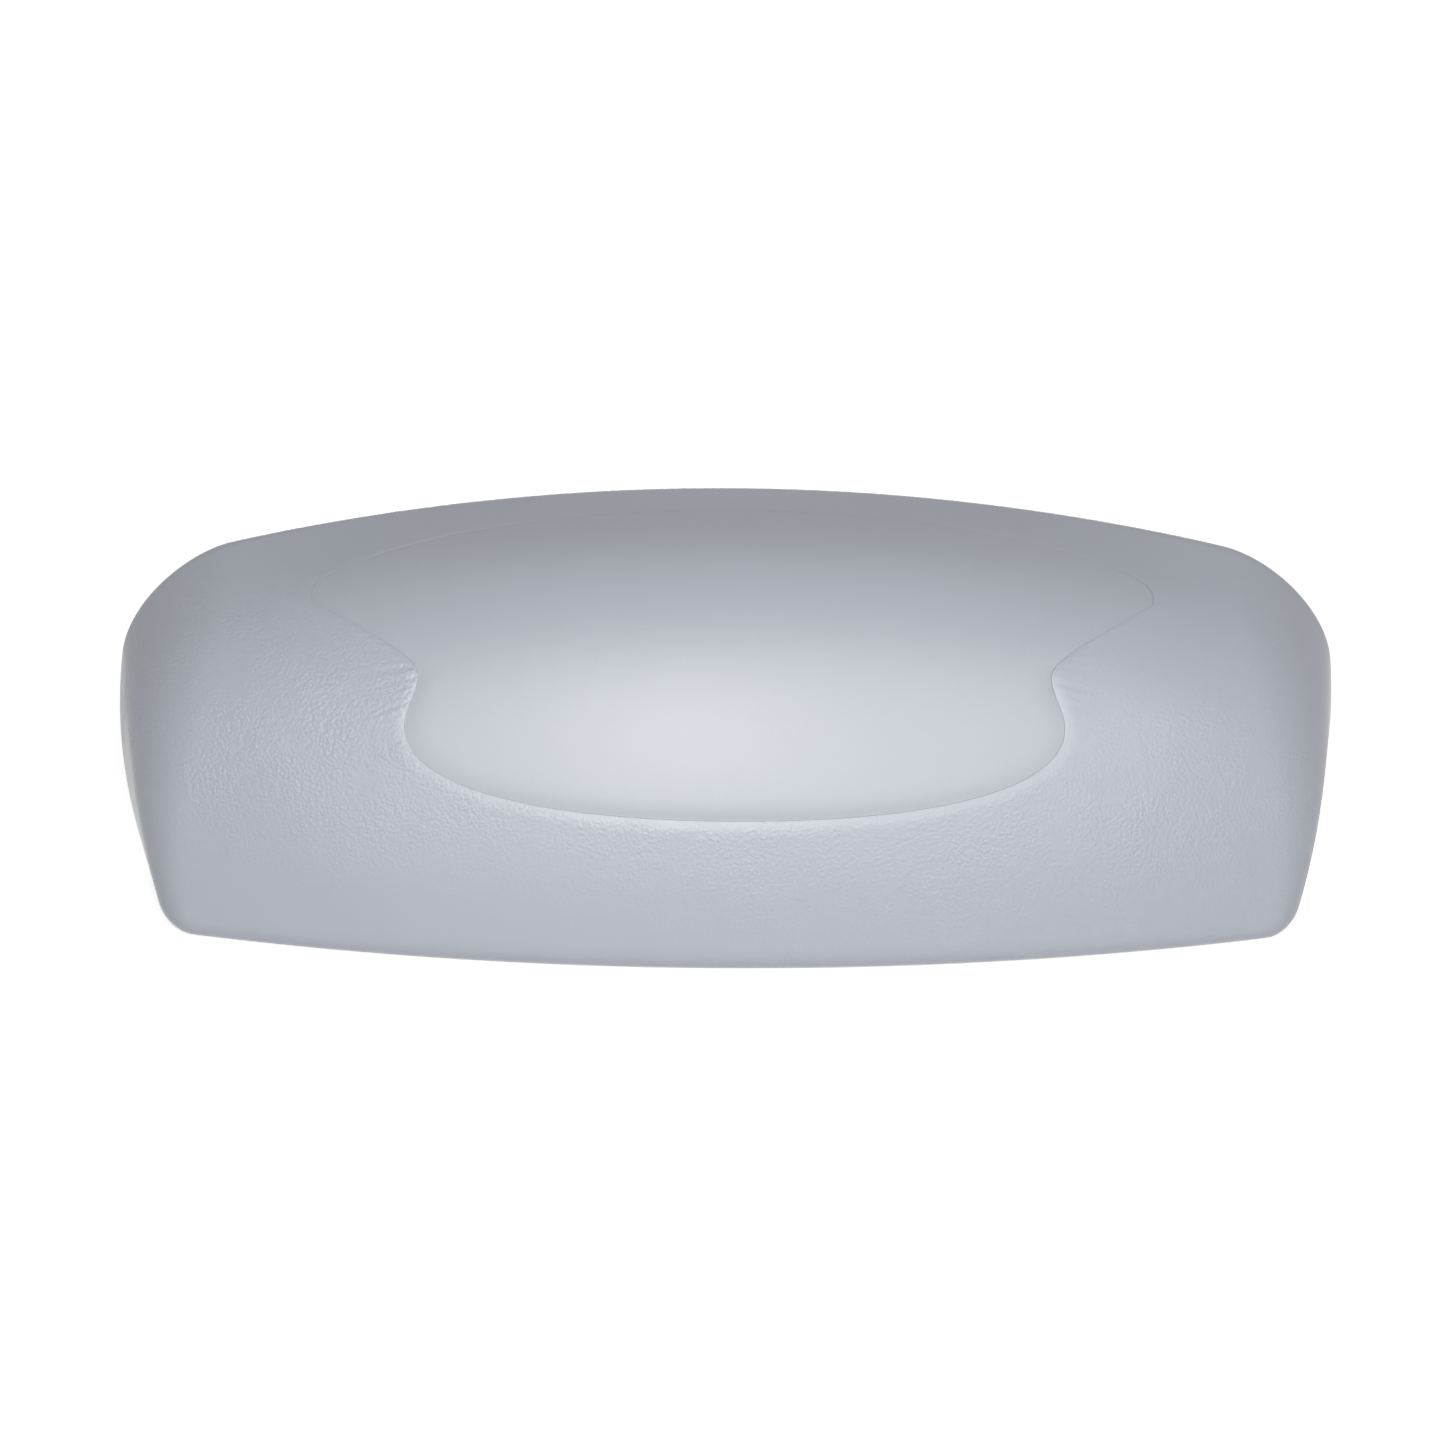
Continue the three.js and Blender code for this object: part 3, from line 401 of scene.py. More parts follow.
def panel_outline(panel, fine):
    """Right half of the panel's outline, from the bowl's bottom round the tip to the top.

    Gives the places on the drawing, the way inwards from each, and the shares of crease and swell there.
    """
    bowl_end = (panel.bowl_half, panel.bowl_side)
    notch = (panel.notch_half, panel.notch_up)
    wing_end = (panel.tip_half - panel.tip_low_run, panel.tip_up - panel.tip_low_rise)
    tip = (panel.tip_half, panel.tip_up)
    lens_end = (panel.tip_half - panel.tip_high_run, panel.tip_up + panel.tip_high_rise)
    low_bend = wing_end[1] + panel.tip_low_run * panel.wing_rise / panel.wing_run
    high_bend = lens_end[1] - panel.tip_high_run * panel.lens_rise / panel.lens_run
    lens_columns = half_columns(fine) - fine.tip
    at_bowl = np.array([panel.bowl_share, 1])
    at_side = np.array([panel.side_share, 1])
    at_notch = np.array([panel.notch_share, panel.notch_swell])
    at_tip = np.array([panel.tip_share, panel.tip_swell])
    at_top = np.array([panel.top_share, panel.top_swell])
    runs = [
        ([(0, panel.bowl_bottom), (panel.bowl_flat, panel.bowl_bottom),
          (panel.bowl_half, panel.bowl_side - panel.bowl_corner), bowl_end],
         fine.bowl, at_bowl, at_side, 1),
        ([bowl_end, (panel.bowl_half, panel.bowl_side + panel.notch_round),
          (panel.notch_half, panel.notch_up - panel.notch_round), notch],
         fine.waist, at_side, at_notch, 1),
        ([notch, (panel.notch_half, panel.notch_up + panel.wing_round),
          (wing_end[0] - panel.wing_run, wing_end[1] - panel.wing_rise), wing_end],
         fine.wing, at_notch, at_tip, 1),
        ([wing_end, (panel.tip_half, low_bend), tip], fine.tip, at_tip, at_tip, 1),
        ([tip, (panel.tip_half, high_bend), lens_end], fine.tip, at_tip, at_tip, 1),
        ([lens_end, (lens_end[0] - panel.lens_run, lens_end[1] + panel.lens_rise),
          (panel.lens_flat, panel.lens_top), (0, panel.lens_top)],
         lens_columns, at_tip, at_top, panel.top_ease),
    ]
    places = []
    inwards = []
    shares = []
    for points, columns, first, last, ease in runs:
        share = np.linspace(0, 1, columns + 1)
        ahead = bezier(points, np.minimum(share + PROBE, 1))
        behind = bezier(points, np.maximum(share - PROBE, 0))
        way = (ahead - behind) / np.linalg.norm(ahead - behind, axis=1, keepdims=True)
        skip = 1 if places else 0
        places.append(bezier(points, share)[skip:])
        inwards.append(np.stack([-way[:, 1], way[:, 0]], axis=1)[skip:])
        shares.append((first + (last - first) * smoothstep(share, 0, ease)[:, None])[skip:])
    return np.concatenate(places), np.concatenate(inwards), np.concatenate(shares)


def running_length(points):
    """Length along each row of points, from its start."""
    steps = np.linalg.norm(np.diff(points, axis=-2), axis=-1)
    start = np.zeros(steps.shape[:-1] + (1,))
    return np.concatenate([start, np.cumsum(steps, axis=-1)], axis=-1)


def running_effort(points, step_length, step_turn):
    """Length over a step's length plus turn over a step's turn, added up along each row."""
    run = np.diff(points, axis=-2)
    steps = np.linalg.norm(run, axis=-1)
    unit = run / np.maximum(steps, TINY)[..., None]
    turn = np.arccos(np.clip((unit[..., 1:, :] * unit[..., :-1, :]).sum(axis=-1), -1, 1))
    turn = np.concatenate([turn, np.zeros(turn.shape[:-1] + (1,))], axis=-1)
    effort = np.cumsum(steps / step_length + turn / step_turn, axis=-1)
    return np.concatenate([np.zeros(effort.shape[:-1] + (1,)), effort], axis=-1)


def along(points, measure, targets):
    """Points of each row where its running measure reaches the targets, on straight steps."""
    last = points.shape[1] - 2
    index = np.clip((measure[:, None, :] <= targets[:, :, None]).sum(axis=2) - 1, 0, last)
    low = np.take_along_axis(measure, index, axis=1)
    high = np.take_along_axis(measure, index + 1, axis=1)
    share = np.clip((targets - low) / np.maximum(high - low, TINY), 0, 1)[..., None]
    first = np.take_along_axis(points, index[..., None], axis=1)
    second = np.take_along_axis(points, index[..., None] + 1, axis=1)
    return first + (second - first) * share


STEP_LENGTH = 0.016  # a column or ring is worth this much length
STEP_TURN = math.radians(16)  # or this much turn


def shared_out(line, columns):
    """Points along a line, closer together where it turns."""
    effort = running_effort(line[None], STEP_LENGTH, STEP_TURN)
    targets = np.linspace(0, effort[0, -1], columns + 1)[None]
    return along(line[None], effort, targets)[0]


def outline_stations(line, side_height, columns):
    """Shares out a half outline: as many columns below a height on its side as above it."""
    side = int(np.argmax((line[:, 0] > 0) & (line[:, 2] >= side_height)))
    low = shared_out(line[:side + 1], columns)
    high = shared_out(line[side:], columns)
    return np.concatenate([low, high[1:]])


def rim_line(form, fine):
    """Right half of the body's outline where the edge round the back begins, by rays to a frame's sides."""
    top = back_top(form)
    height = heart_height(form)
    corners = np.array([
        (0, -form.rim_round, form.underside),
        (form.half_width, -form.rim_round, form.underside),
        (form.half_width, -form.rim_round, top),
        (0, -form.rim_round, top),
    ])
    edges = len(corners) - 1
    share = np.linspace(0, edges, edges * fine.path_steps + 1)
    edge = np.minimum(share.astype(int), edges - 1)
    p = corners[edge] + (corners[edge + 1] - corners[edge]) * (share - edge)[:, None]
    heart = np.stack([p[:, 0] * HEART_SPREAD, p[:, 1], np.full(len(p), height)], axis=-1)
    return cast(form, heart, p - heart, 0)


def opening_line(form, steps, grow):
    """Right half of the opening in the back, grown by an offset: straight edges and two quarter turns."""
    half = form.half_width - form.hem_end + grow
    low = form.underside + form.hem_low - grow
    high = back_top(form) - form.hem_high + grow
    corner = form.opening_corner + grow
    quarter = np.linspace(0, math.pi / 2, steps)
    sine = corner * np.sin(quarter)
    cosine = corner * np.cos(quarter)
    lower = np.stack([half - corner + sine, low + corner - cosine], axis=1)
    upper = np.stack([half - corner + cosine, high - corner + sine], axis=1)
    flat = np.linspace(0, 1, steps, endpoint=False)[:, None]
    bottom = np.array([[0, low]]) + flat * (lower[:1] - np.array([[0, low]]))
    side = lower[-1:] + flat[1:] * (upper[:1] - lower[-1:])
    top = upper[-1:] + flat[1:] * (np.array([[0, high]]) - upper[-1:])
    line = np.concatenate([bottom, lower, side, upper, top, [[0, high]]])
    return np.stack([line[:, 0], np.zeros(len(line)), line[:, 1]], axis=1)


def whole(half):
    """Mirrors the right half of a set of columns, so that they run all the way round from the bottom."""
    mirror = np.ones(half.shape[-1])
    mirror[0] = -1
    return np.concatenate([half, half[-2:0:-1] * mirror])


def pillow_lines(form, panel, fine):
    """Shared columns of the soft pieces, all the way round: crease, its drawing and shares, rim and hem."""
    places, inwards, shares = panel_outline(panel, fine)
    crease = on_face(form, places[:, 0], places[:, 1])
    columns = half_columns(fine)
    side_height = (heart_height(form) + crease[columns, 2]) / 2
    rim = outline_stations(rim_line(form, fine), side_height, columns)
    opening = opening_line(form, fine.path_steps, 0)
    opening_middle = (opening[0, 2] + opening[-1, 2]) / 2
    hem = outline_stations(opening, opening_middle, columns)
    lines = {"places": places, "inwards": inwards, "crease": crease, "rim": rim, "hem": hem}
    lines = {name: whole(half) for name, half in lines.items()}
    lines["shares"] = np.concatenate([shares, shares[-2:0:-1]])
    return lines


SPINE_DECIMALS = 4  # with this rounding, the columns beside the tip's end in the same point as it
QUARTERS = 4  # a ring of columns runs from bottom to tip to top to tip and back


def spine_shares(columns):
    """How far out along a spine each column ends: the sine of its place between the middle and the tip."""
    column = np.arange(QUARTERS * columns)
    return np.round(np.sin(column / columns * math.pi / 2), SPINE_DECIMALS)


FLAT_INSET = 1.5  # the back is flat this many rim radii in from its edge
RIM_STEPS = 32  # steps round the rim
HEM_STEPS = 16  # steps from there to the hem's edge


def skin_paths(form, fine, lines):
    """Fine lines over the surface: from the crease over chin, side or top, and round the rim to the hem."""
    crease = lines["crease"][:, None]
    rim = lines["rim"][:, None]
    hem = lines["hem"][:, None]
    inwards = (hem - rim) * np.array([1, 0, 1])
    inwards = inwards / np.linalg.norm(inwards, axis=-1, keepdims=True)
    flat = (rim + inwards * FLAT_INSET * form.rim_round) * np.array([1, 0, 1])
    edge = hem - inwards * form.hem_round
    over = np.linspace(0, 1, fine.path_steps + 1)[None, :, None]
    round_rim = np.linspace(0, 1, RIM_STEPS + 1)[None, 1:, None]
    to_hem = np.linspace(0, 1, HEM_STEPS + 1)[None, 1:, None]
    first = on_level(form, crease + (rim - crease) * over, 0)
    second = on_level(form, rim + (flat - rim) * round_rim, 0)
    third = flat + (edge - flat) * to_hem
    return np.concatenate([first, second, third], axis=1), inwards


# Meshes

def grid_faces(around, rings, closed):
    """Quads between neighbouring columns and rings: columns close up, and rings do so if closed."""
    column = np.arange(around)[:, None]
    ring = np.arange(rings if closed else rings - 1)[None, :]
    ahead = (column + 1) % around
    out = (ring + 1) % rings
    corners = (column * rings + ring, column * rings + out, ahead * rings + out, ahead * rings + ring)
    return np.stack([np.broadcast_to(c, (around, ring.shape[1])) for c in corners], axis=-1).reshape(-1, 4)


def new_mesh(name, points, faces, values=None):
    """Mesh object from an array of points and an array of quads, with named values on its points."""
    mesh = bpy.data.meshes.new(name)
    mesh.vertices.add(len(points))
    mesh.vertices.foreach_set("co", np.ascontiguousarray(points, np.float32).ravel())
    mesh.loops.add(faces.size)
    mesh.loops.foreach_set("vertex_index", faces.astype(np.int32).ravel())
    mesh.polygons.add(len(faces))
    mesh.polygons.foreach_set("loop_start", np.arange(0, faces.size, faces.shape[1], dtype=np.int32))
    for label, numbers in (values or {}).items():
        attribute = mesh.attributes.new(label, "FLOAT", "POINT")
        attribute.data.foreach_set("value", np.ascontiguousarray(numbers, np.float32).ravel())
    mesh.update(calc_edges=True)
    mesh.validate()
    obj = bpy.data.objects.new(name, mesh)
    bpy.context.scene.collection.objects.link(obj)
    return obj


SHARP = math.radians(38)  # edges that turn more than this are drawn sharp


def shade(obj):
    """Shades a mesh smooth, with its sharp edges kept."""
    obj.data.polygons.foreach_set("use_smooth", np.ones(len(obj.data.polygons), bool))
    obj.data.set_sharp_from_angle(angle=SHARP)
    obj.data.update()


def close_up(obj):
    """Merges points that lie on each other, drops faces that this empties, and shades the rest smooth."""
    work = bmesh.new()
    work.from_mesh(obj.data)
    bmesh.ops.remove_doubles(work, verts=work.verts, dist=MERGE)
    bmesh.ops.dissolve_degenerate(work, dist=MERGE, edges=work.edges)
    bmesh.ops.recalc_face_normals(work, faces=work.faces)
    work.to_mesh(obj.data)
    work.free()
    shade(obj)


def grid_object(name, grid, closed, values=None):
    """Closed mesh object over a grid of points, columns by rings."""
    obj = new_mesh(name, grid.reshape(-1, 3), grid_faces(grid.shape[0], grid.shape[1], closed), values)
    close_up(obj)
    return obj


def easing(distance, reach, power=2):
    """Falls from 1 on the crease to 0 at the reach: (1 - d / r) to a power."""
    return np.clip(1 - distance / reach, 0, 1) ** power


WRINKLE_WAVES = ((0.0023, 0.3), (0.0031, 1.7), (0.0047, 4.0))  # wave lengths and phases
WRINKLE_SIDES = (1.0, 0.45)  # left notch, right notch


def wrinkles(panel, fine, crease, distance):
    """Small wrinkles that run out from the crease round the notches.

    Waves along the crease, summed, times a bell round each notch, times (d / r) exp(1 - d / r).
    """
    ring = np.concatenate([crease, crease[:1]])
    run = running_length(ring)
    right = run[fine.bowl + fine.waist]
    places = (run[-1] - right, right)
    run = run[:-1, None]
    wave = sum(np.sin(math.tau * run / size + phase) for size, phase in WRINKLE_WAVES) / len(WRINKLE_WAVES)
    bell = sum(
        strength * np.exp(-((run - place) / panel.wrinkle_run) ** 2)
        for strength, place in zip(WRINKLE_SIDES, places))
    away = distance / panel.wrinkle_reach
    return panel.wrinkle * wave * bell * away * np.exp(1 - away)


LIP_CROWDING = 2.5  # power by which the lip's rings crowd towards its edge
LIP_POWER = 3
HEM_TURN_STEPS = 5


def skin_grid(form, panel, fine):
    """Grained skin as a closed band: lip, face, chin, sides, rim and hem outside, and a lining inside.

    Column and ring are the two parameters. A point lies on its column's line over the pillow's surface,
    at distance d from the crease. The lip falls by height times (1 - d / r) cubed, the swell before it
    rises by height times (1 - d / r) squared, and the lip's edge is a quarter circle. The lip hangs over:
    the lining comes up to it further out.
    """
    lines = pillow_lines(form, panel, fine)
    paths, inwards = skin_paths(form, fine, lines)
    distance = running_length(paths)
    effort = running_effort(paths, STEP_LENGTH, STEP_TURN)
    measured = np.concatenate([paths, distance[..., None]], axis=-1)
    lip = panel.lip_reach * np.linspace(0, 1, fine.lip_rings + 1) ** LIP_CROWDING
    lip_points = along(measured, distance, np.broadcast_to(lip, (len(paths), len(lip))))
    at_reach = along(effort[..., None], distance, np.full((len(paths), 1), panel.lip_reach))[..., 0]
    body_share = np.linspace(0, 1, fine.body_rings + 1)[None, 1:]
    body_points = along(measured, effort, at_reach + (effort[:, -1:] - at_reach) * body_share)
    outside = np.concatenate([lip_points, body_points], axis=1)
    from_crease = outside[..., 3]
    outside = outside[..., :3]
    share = lines["shares"][:, :1]
    swell = panel.swell * lines["shares"][:, 1:]
    edge = panel.lip_edge * share
    turn = np.clip(1 - from_crease / edge, 0, 1)
    drop = share * panel.lip_fall * easing(from_crease, panel.lip_reach, LIP_POWER)
    drop = drop - swell * easing(from_crease, panel.swell_reach)
    drop = drop + edge * (1 - np.sqrt(1 - turn ** 2))
    drop = drop + wrinkles(panel, fine, lines["crease"], from_crease)
    flat_back = outside[..., 1] > -MERGE
    outside = np.where(flat_back[..., None], outside, on_level(form, outside, drop))
    quarter = np.linspace(0, math.pi / 2, HEM_TURN_STEPS)[None, 1:, None]
    hem_edge = lines["hem"][:, None] + form.hem_round * (
        (np.sin(quarter) - 1) * inwards + (np.cos(quarter) - 1) * np.array([0, 1, 0]))
    under_lip = along(paths, distance, np.full((len(paths), 1), panel.overhang))
    at_overhang = along(effort[..., None], distance, np.full((len(paths), 1), panel.overhang))[..., 0]
    lining_share = np.linspace(1, 0, fine.lining_rings)[None, 1:]
    lining = along(paths, effort, at_overhang + (effort[:, -1:] - at_overhang) * lining_share)
    lining = on_level(form, lining, form.skin_thick)
    under_lip = on_level(form, under_lip, drop[:, :1] + panel.lip_thick)
    hem_turn = lines["hem"][:, None] + np.array([0, -form.skin_thick, 0])
    return np.concatenate([outside, hem_edge, hem_turn, lining, under_lip], axis=1)


CHUNK = 2000  # points that are measured in one go


def crease_distance(lines, drawing):
    """Distance from points of the drawing to the panel's outline, and the nearest share of the crease."""
    start = lines["places"]
    step = np.roll(start, -1, axis=0) - start
    first = lines["shares"][:, 0]
    last = np.roll(first, -1)
    size = (step ** 2).sum(axis=1)
    flat = drawing.reshape(-1, 1, 2)
    best = []
    share = []
    for part in np.array_split(flat, max(1, len(flat) // CHUNK)):
        along_step = np.clip(((part - start) * step).sum(axis=2) / size, 0, 1)
        away = np.linalg.norm(part - start - step * along_step[..., None], axis=2)
        nearest = away.argmin(axis=1)
        row = np.arange(len(part))
        best.append(away[row, nearest])
        mix = along_step[row, nearest]
        share.append(first[nearest] + (last[nearest] - first[nearest]) * mix)
    shape = drawing.shape[:-1]
    return np.concatenate(best).reshape(shape), np.concatenate(share).reshape(shape)


def panel_spine(panel, fine):
    """The panel's spine on its drawing: it runs across and rises as the square of the way out."""
    out = spine_shares(half_columns(fine))
    middle = (panel.bowl_bottom + panel.lens_top) / 2
    up = middle + (panel.tip_up - middle) * panel.spine_rise * out ** 2
    return np.stack([panel.spine_share * panel.notch_half * out, up], axis=1)


ROLL_CROWDING = 1.5  # power by which the panel's rings crowd towards its edge


def panel_grid(form, panel, fine):
    """Smooth panel as a closed sheet between its spine and the crease.

    Column and ring are the two parameters. A point lies on the straight way from the spine to the crease.
    It drops below the pillow's surface by roll times (1 - d / r) squared, where d is the distance from the
    crease. Its edge reaches in under the lip.
    """
    lines = pillow_lines(form, panel, fine)
    spine = panel_spine(panel, fine)
    edge = lines["places"] - lines["inwards"] * panel.tuck
    way = edge - spine
    reach = np.linalg.norm(way, axis=1, keepdims=True)
    roll = panel.roll_reach * np.linspace(1, 0, fine.roll_rings + 1)[None] ** ROLL_CROWDING
    inner = np.linspace(1, 0, fine.panel_rings, endpoint=False)[None]
    flat = panel.roll_reach + (reach - panel.roll_reach) * inner
    back = np.concatenate([flat, np.broadcast_to(roll, (len(way), roll.shape[1]))], axis=1)
    drawing = spine[:, None] + way[:, None] * (1 - back / reach)[..., None]
    distance, share = crease_distance(lines, drawing)
    surface = on_face(form, drawing[..., 0], drawing[..., 1])
    top = on_level(form, surface, panel.roll * share * easing(distance, panel.roll_reach))
    under_share = np.linspace(1, 0, fine.lining_rings)[None, :, None]
    under = on_face(form, *np.moveaxis(spine[:, None] + way[:, None] * under_share, -1, 0))
    return np.concatenate([top, on_level(form, under, panel.panel_thick)], axis=1)


def foam_grid(form, panel, fine, gap):
    """Foam as one closed form: under the panel, under the skin, and flat across the back.

    Column and ring are the two parameters. Rings run from the panel's spine to the crease, over the pillow
    to the hem's edge and in to a spine across the back, each at the depth of the piece that covers it.
    """
    stride = fine.foam_stride
    lines = {name: line[::stride] for name, line in pillow_lines(form, panel, fine).items()}
    spine = panel_spine(panel, fine)[::stride]
    out = np.linspace(0, 1, fine.lining_rings)[None, :, None]
    drawing = spine[:, None] + (lines["places"] - spine)[:, None] * out
    under_panel = on_level(form, on_face(form, drawing[..., 0], drawing[..., 1]), panel.panel_thick + gap)
    paths, _ = skin_paths(form, fine, lines)
    effort = running_effort(paths, STEP_LENGTH, STEP_TURN)
    under_skin = along(paths, effort, np.linspace(0, 1, fine.foam_rings)[None, :] * effort[:, -1:])
    below = form.skin_thick + gap
    under_skin = on_level(form, under_skin, below)
    back_half = form.half_width - form.hem_end
    shares = spine_shares(half_columns(fine))[::stride]
    back = np.stack([
        back_half * shares, np.full(len(shares), -below), np.full(len(shares), heart_height(form))], axis=1)
    return np.concatenate([under_panel, under_skin, back[:, None]], axis=1)


# Turned and moulded pieces

ROUND_STEPS = 5  # steps round a profile's corner


def profile_of(corners, closed, step=0.0):
    """Profile through rows of radius, depth and rounding: a corner becomes a parabola over its rounding."""
    rows = np.array(corners, float)
    place = rows[:, :2]
    arriving = place - np.roll(place, 1, axis=0)
    arriving = arriving / np.linalg.norm(arriving, axis=1, keepdims=True)
    leaving = np.roll(arriving, -1, axis=0)
    share = np.linspace(0, 1, ROUND_STEPS + 1)[None, :, None]
    reach = rows[:, None, 2:]
    before = arriving[:, None] * reach * (1 - share) ** 2
    after = leaving[:, None] * reach * share ** 2
    line = (place[:, None] - before + after).reshape(-1, 2)
    line = np.concatenate([line, line[:1]]) if closed else line
    run = running_length(line)
    marks = np.union1d(run, np.arange(0, run[-1], step)) if step else np.unique(run)
    line = np.stack([np.interp(marks, run, line[:, axis]) for axis in (0, 1)], axis=1)
    return line[:-1] if closed else line


def turned(name, profile, closed, axis, columns, reshape=None):
    """Surface of revolution: (across + r cos t, depth, height + r sin t).

    A reshape, where there is one, changes r by angle and depth.
    """
    turn = np.arange(columns)[:, None] * math.tau / columns
    radius, depth, turn = np.broadcast_arrays(profile[None, :, 0], profile[None, :, 1], turn)
    if reshape:
        radius = reshape(turn, radius, depth)
    across, height = axis
    grid = np.stack([across + radius * np.cos(turn), depth, height + radius * np.sin(turn)], axis=-1)
    return grid_object(name, grid, closed)


def turned_solid(name, corners, axis, columns):
    """Solid turned from a profile that starts and ends on its axis."""
    return turned(name, profile_of(corners, closed=False), False, axis, columns)


def hexagon(turn):
    """Radius of a hexagon with corners at 1, the first at angle nought: cos 30 over cos(t mod 60 - 30)."""
    sixth = math.pi / 3
    return math.cos(sixth / 2) / np.cos(np.mod(turn, sixth) - sixth / 2)


def thread_cut(turn, depth, pitch, height):
    """Depth of a thread's groove: half its height times (1 - cos(2 pi depth / pitch - t))."""
    return height / 2 * (1 - np.cos(math.tau * depth / pitch - turn))


def combined(obj, other, operation):
    """Applies a Boolean of two closed objects to the first and removes the second."""
    modifier = obj.modifiers.new("Boolean", "BOOLEAN")
    modifier.operation = operation
    modifier.object = other
    modifier.solver = "MANIFOLD"
    shape = obj.evaluated_get(bpy.context.evaluated_depsgraph_get())
    mesh = bpy.data.meshes.new_from_object(shape)
    obj.modifiers.clear()
    old = obj.data
    if len(mesh.polygons) < len(old.polygons) / 2:
        raise RuntimeError(f"The Boolean on {obj.name} lost most of its faces")
    obj.data = mesh
    bpy.data.meshes.remove(old)
    bpy.data.objects.remove(other)


def turned_box(node):
    """A turned CAD node's axis (across, height), its radius, and the depths of its front and back."""
    low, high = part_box(node)
    middle = (low + high) / 2
    return (middle.x, middle.z), (high.x - low.x) / 2, low.y, high.y


SIDES = ("left", "right")
PLATE_STEPS = 16  # steps along each edge and corner of the plate
PLATE_INSET = 0.010  # the plate's middle is filled in from this far inside the opening


def plate_solid(form, hard, fine, grow):
    """Back plate without its holes, grown by a clearance: a tray with a flange, two dishes and two bosses.

    The tray is a profile of offset and depth carried round the opening in the pillow's back.
    """
    wall = hard.plate_wall
    middle = grow - hard.hem_clearance
    hollow = -hard.hem_clearance - wall - grow
    flange = hard.plate_lap + grow
    flange_back = grow - form.skin_thick - hard.fit_gap
    flange_front = flange_back - wall - 2 * grow
    inside = hard.edge / 2
    profile = profile_of([
        (-PLATE_INSET, 0, 0),
        (middle, 0, hard.edge),
        (middle, flange_back, inside),
        (flange, flange_back, hard.edge),
        (flange, flange_front, hard.edge),
        (hollow, flange_front, inside),
        (hollow, -wall - grow, inside),
        (-PLATE_INSET, -wall - grow, 0),
    ], closed=False)
    rings = [opening_line(form, PLATE_STEPS, offset) + np.array([0, depth, 0]) for offset, depth in profile]
    half = np.stack(rings, axis=1)
    column = np.arange(len(half))
    share = np.sin(np.minimum(column, column[::-1]) / (len(half) - 1) * math.pi)
    spine = np.zeros_like(half[:, :1]) + np.array([0, 0, heart_height(form)])
    spine[:, 0, 0] = (form.half_width - form.hem_end - form.opening_corner) * share
    ends = [spine + np.array([0, depth, 0]) for depth in profile[[0, -1], 1]]
    grid = whole(np.concatenate([ends[0], half, ends[1]], axis=1))
    tray = grid_object("back_plate_moulding", grid, False)
    boss_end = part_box("back_plate")[0].y - grow
    for side in SIDES:
        axis, _, collar_front, _ = turned_box(f"mount_pin_{side}")
        dish_front = collar_front - hard.fit_gap - wall - grow
        dish = hard.pocket_radius + wall + grow
        boss = hard.boss_radius + grow
        inner = -wall / 2
        cup = turned_solid("dish", [
            (0, boss_end, 0),
            (boss, boss_end, hard.edge),
            (boss, dish_front, inside),
            (dish, dish_front, hard.edge),
            (dish, inner, 0),
            (0, inner, 0),
        ], axis, fine.turns)
        combined(tray, cup, "UNION")
    return tray


def pocket_cut(form, hard, fine, side):
    """What is cut out of the back plate at one pin: a dish with a chamfered mouth and the insert's hole."""
    axis, _, collar_front, _ = turned_box(f"mount_pin_{side}")
    _, insert_radius, insert_front, _ = turned_box(f"brass_insert_{side}")
    floor = collar_front - hard.fit_gap
    hole = insert_radius + hard.fit_gap
    hole_end = insert_front - hard.fit_gap
    flare = hard.edge + hard.plate_wall
    return turned_solid("pocket", [
        (0, hard.plate_wall, 0),
        (hard.pocket_radius + flare, hard.plate_wall, 0),
        (hard.pocket_radius, -hard.edge, hard.edge / 2),
        (hard.pocket_radius, floor, hard.edge),
        (hole, floor, hard.fit_gap),
        (hole, hole_end, hard.fit_gap),
        (0, hole_end, 0),
    ], axis, fine.turns)


# Shader groups

def new_group(name, inputs, outputs):
    """Empty shader node group with named sockets; gives the group and its input and output nodes."""
    group = bpy.data.node_groups.new(name, "ShaderNodeTree")
    for label, kind, default in inputs:
        socket = group.interface.new_socket(name=label, in_out="INPUT", socket_type=kind)
        if default is not None:
            socket.default_value = default
    for label in outputs:
        group.interface.new_socket(name=label, in_out="OUTPUT", socket_type="NodeSocketFloat")
    return group, group.nodes.new("NodeGroupInput"), group.nodes.new("NodeGroupOutput")


def texture_node(tree, kind, vector, scale, **sockets):
    """Adds a texture node on a vector and a scale, and sets its other sockets."""
    node = tree.nodes.new(kind)
    tree.links.new(vector, node.inputs["Vector"])
    tree.links.new(scale, node.inputs["Scale"])
    for label, value in sockets.items():
        node.inputs[label].default_value = value
    return node


def math_node(tree, operation, first, second):
    """Math node on two sockets or numbers; gives its result's socket."""
    node = tree.nodes.new("ShaderNodeMath")
    node.operation = operation
    for socket, value in zip(node.inputs, (first, second)):
        if isinstance(value, bpy.types.NodeSocket):
            tree.links.new(value, socket)
        else:
            socket.default_value = value
    return node.outputs[0]


NOISE = "ShaderNodeTexNoise"
CELLS = "ShaderNodeTexVoronoi"
NOISE_MIDDLE = 0.5  # noise swings about this value
VECTOR = ("Vector", "NodeSocketVector", None)
GRAIN_BEND = 0.0006  # how far noise bends the grain's pebbles
GRAIN_BEND_SCALE = 0.45  # waves of that noise in the width of one pebble
GRAIN_SOFTNESS = 0.45  # how far neighbouring pebbles run together
GRAIN_FINE_SCALE = 1.6  # waves of the fine creases in the width of one pebble
GRAIN_FINE_SHARE = 0.4  # height of the fine creases against a pebble's
GRAIN_PATCHES = 0.09  # patches of weaker and stronger grain in the width of one pebble
PATCH_SWING = 2.0  # strength of the strongest patches


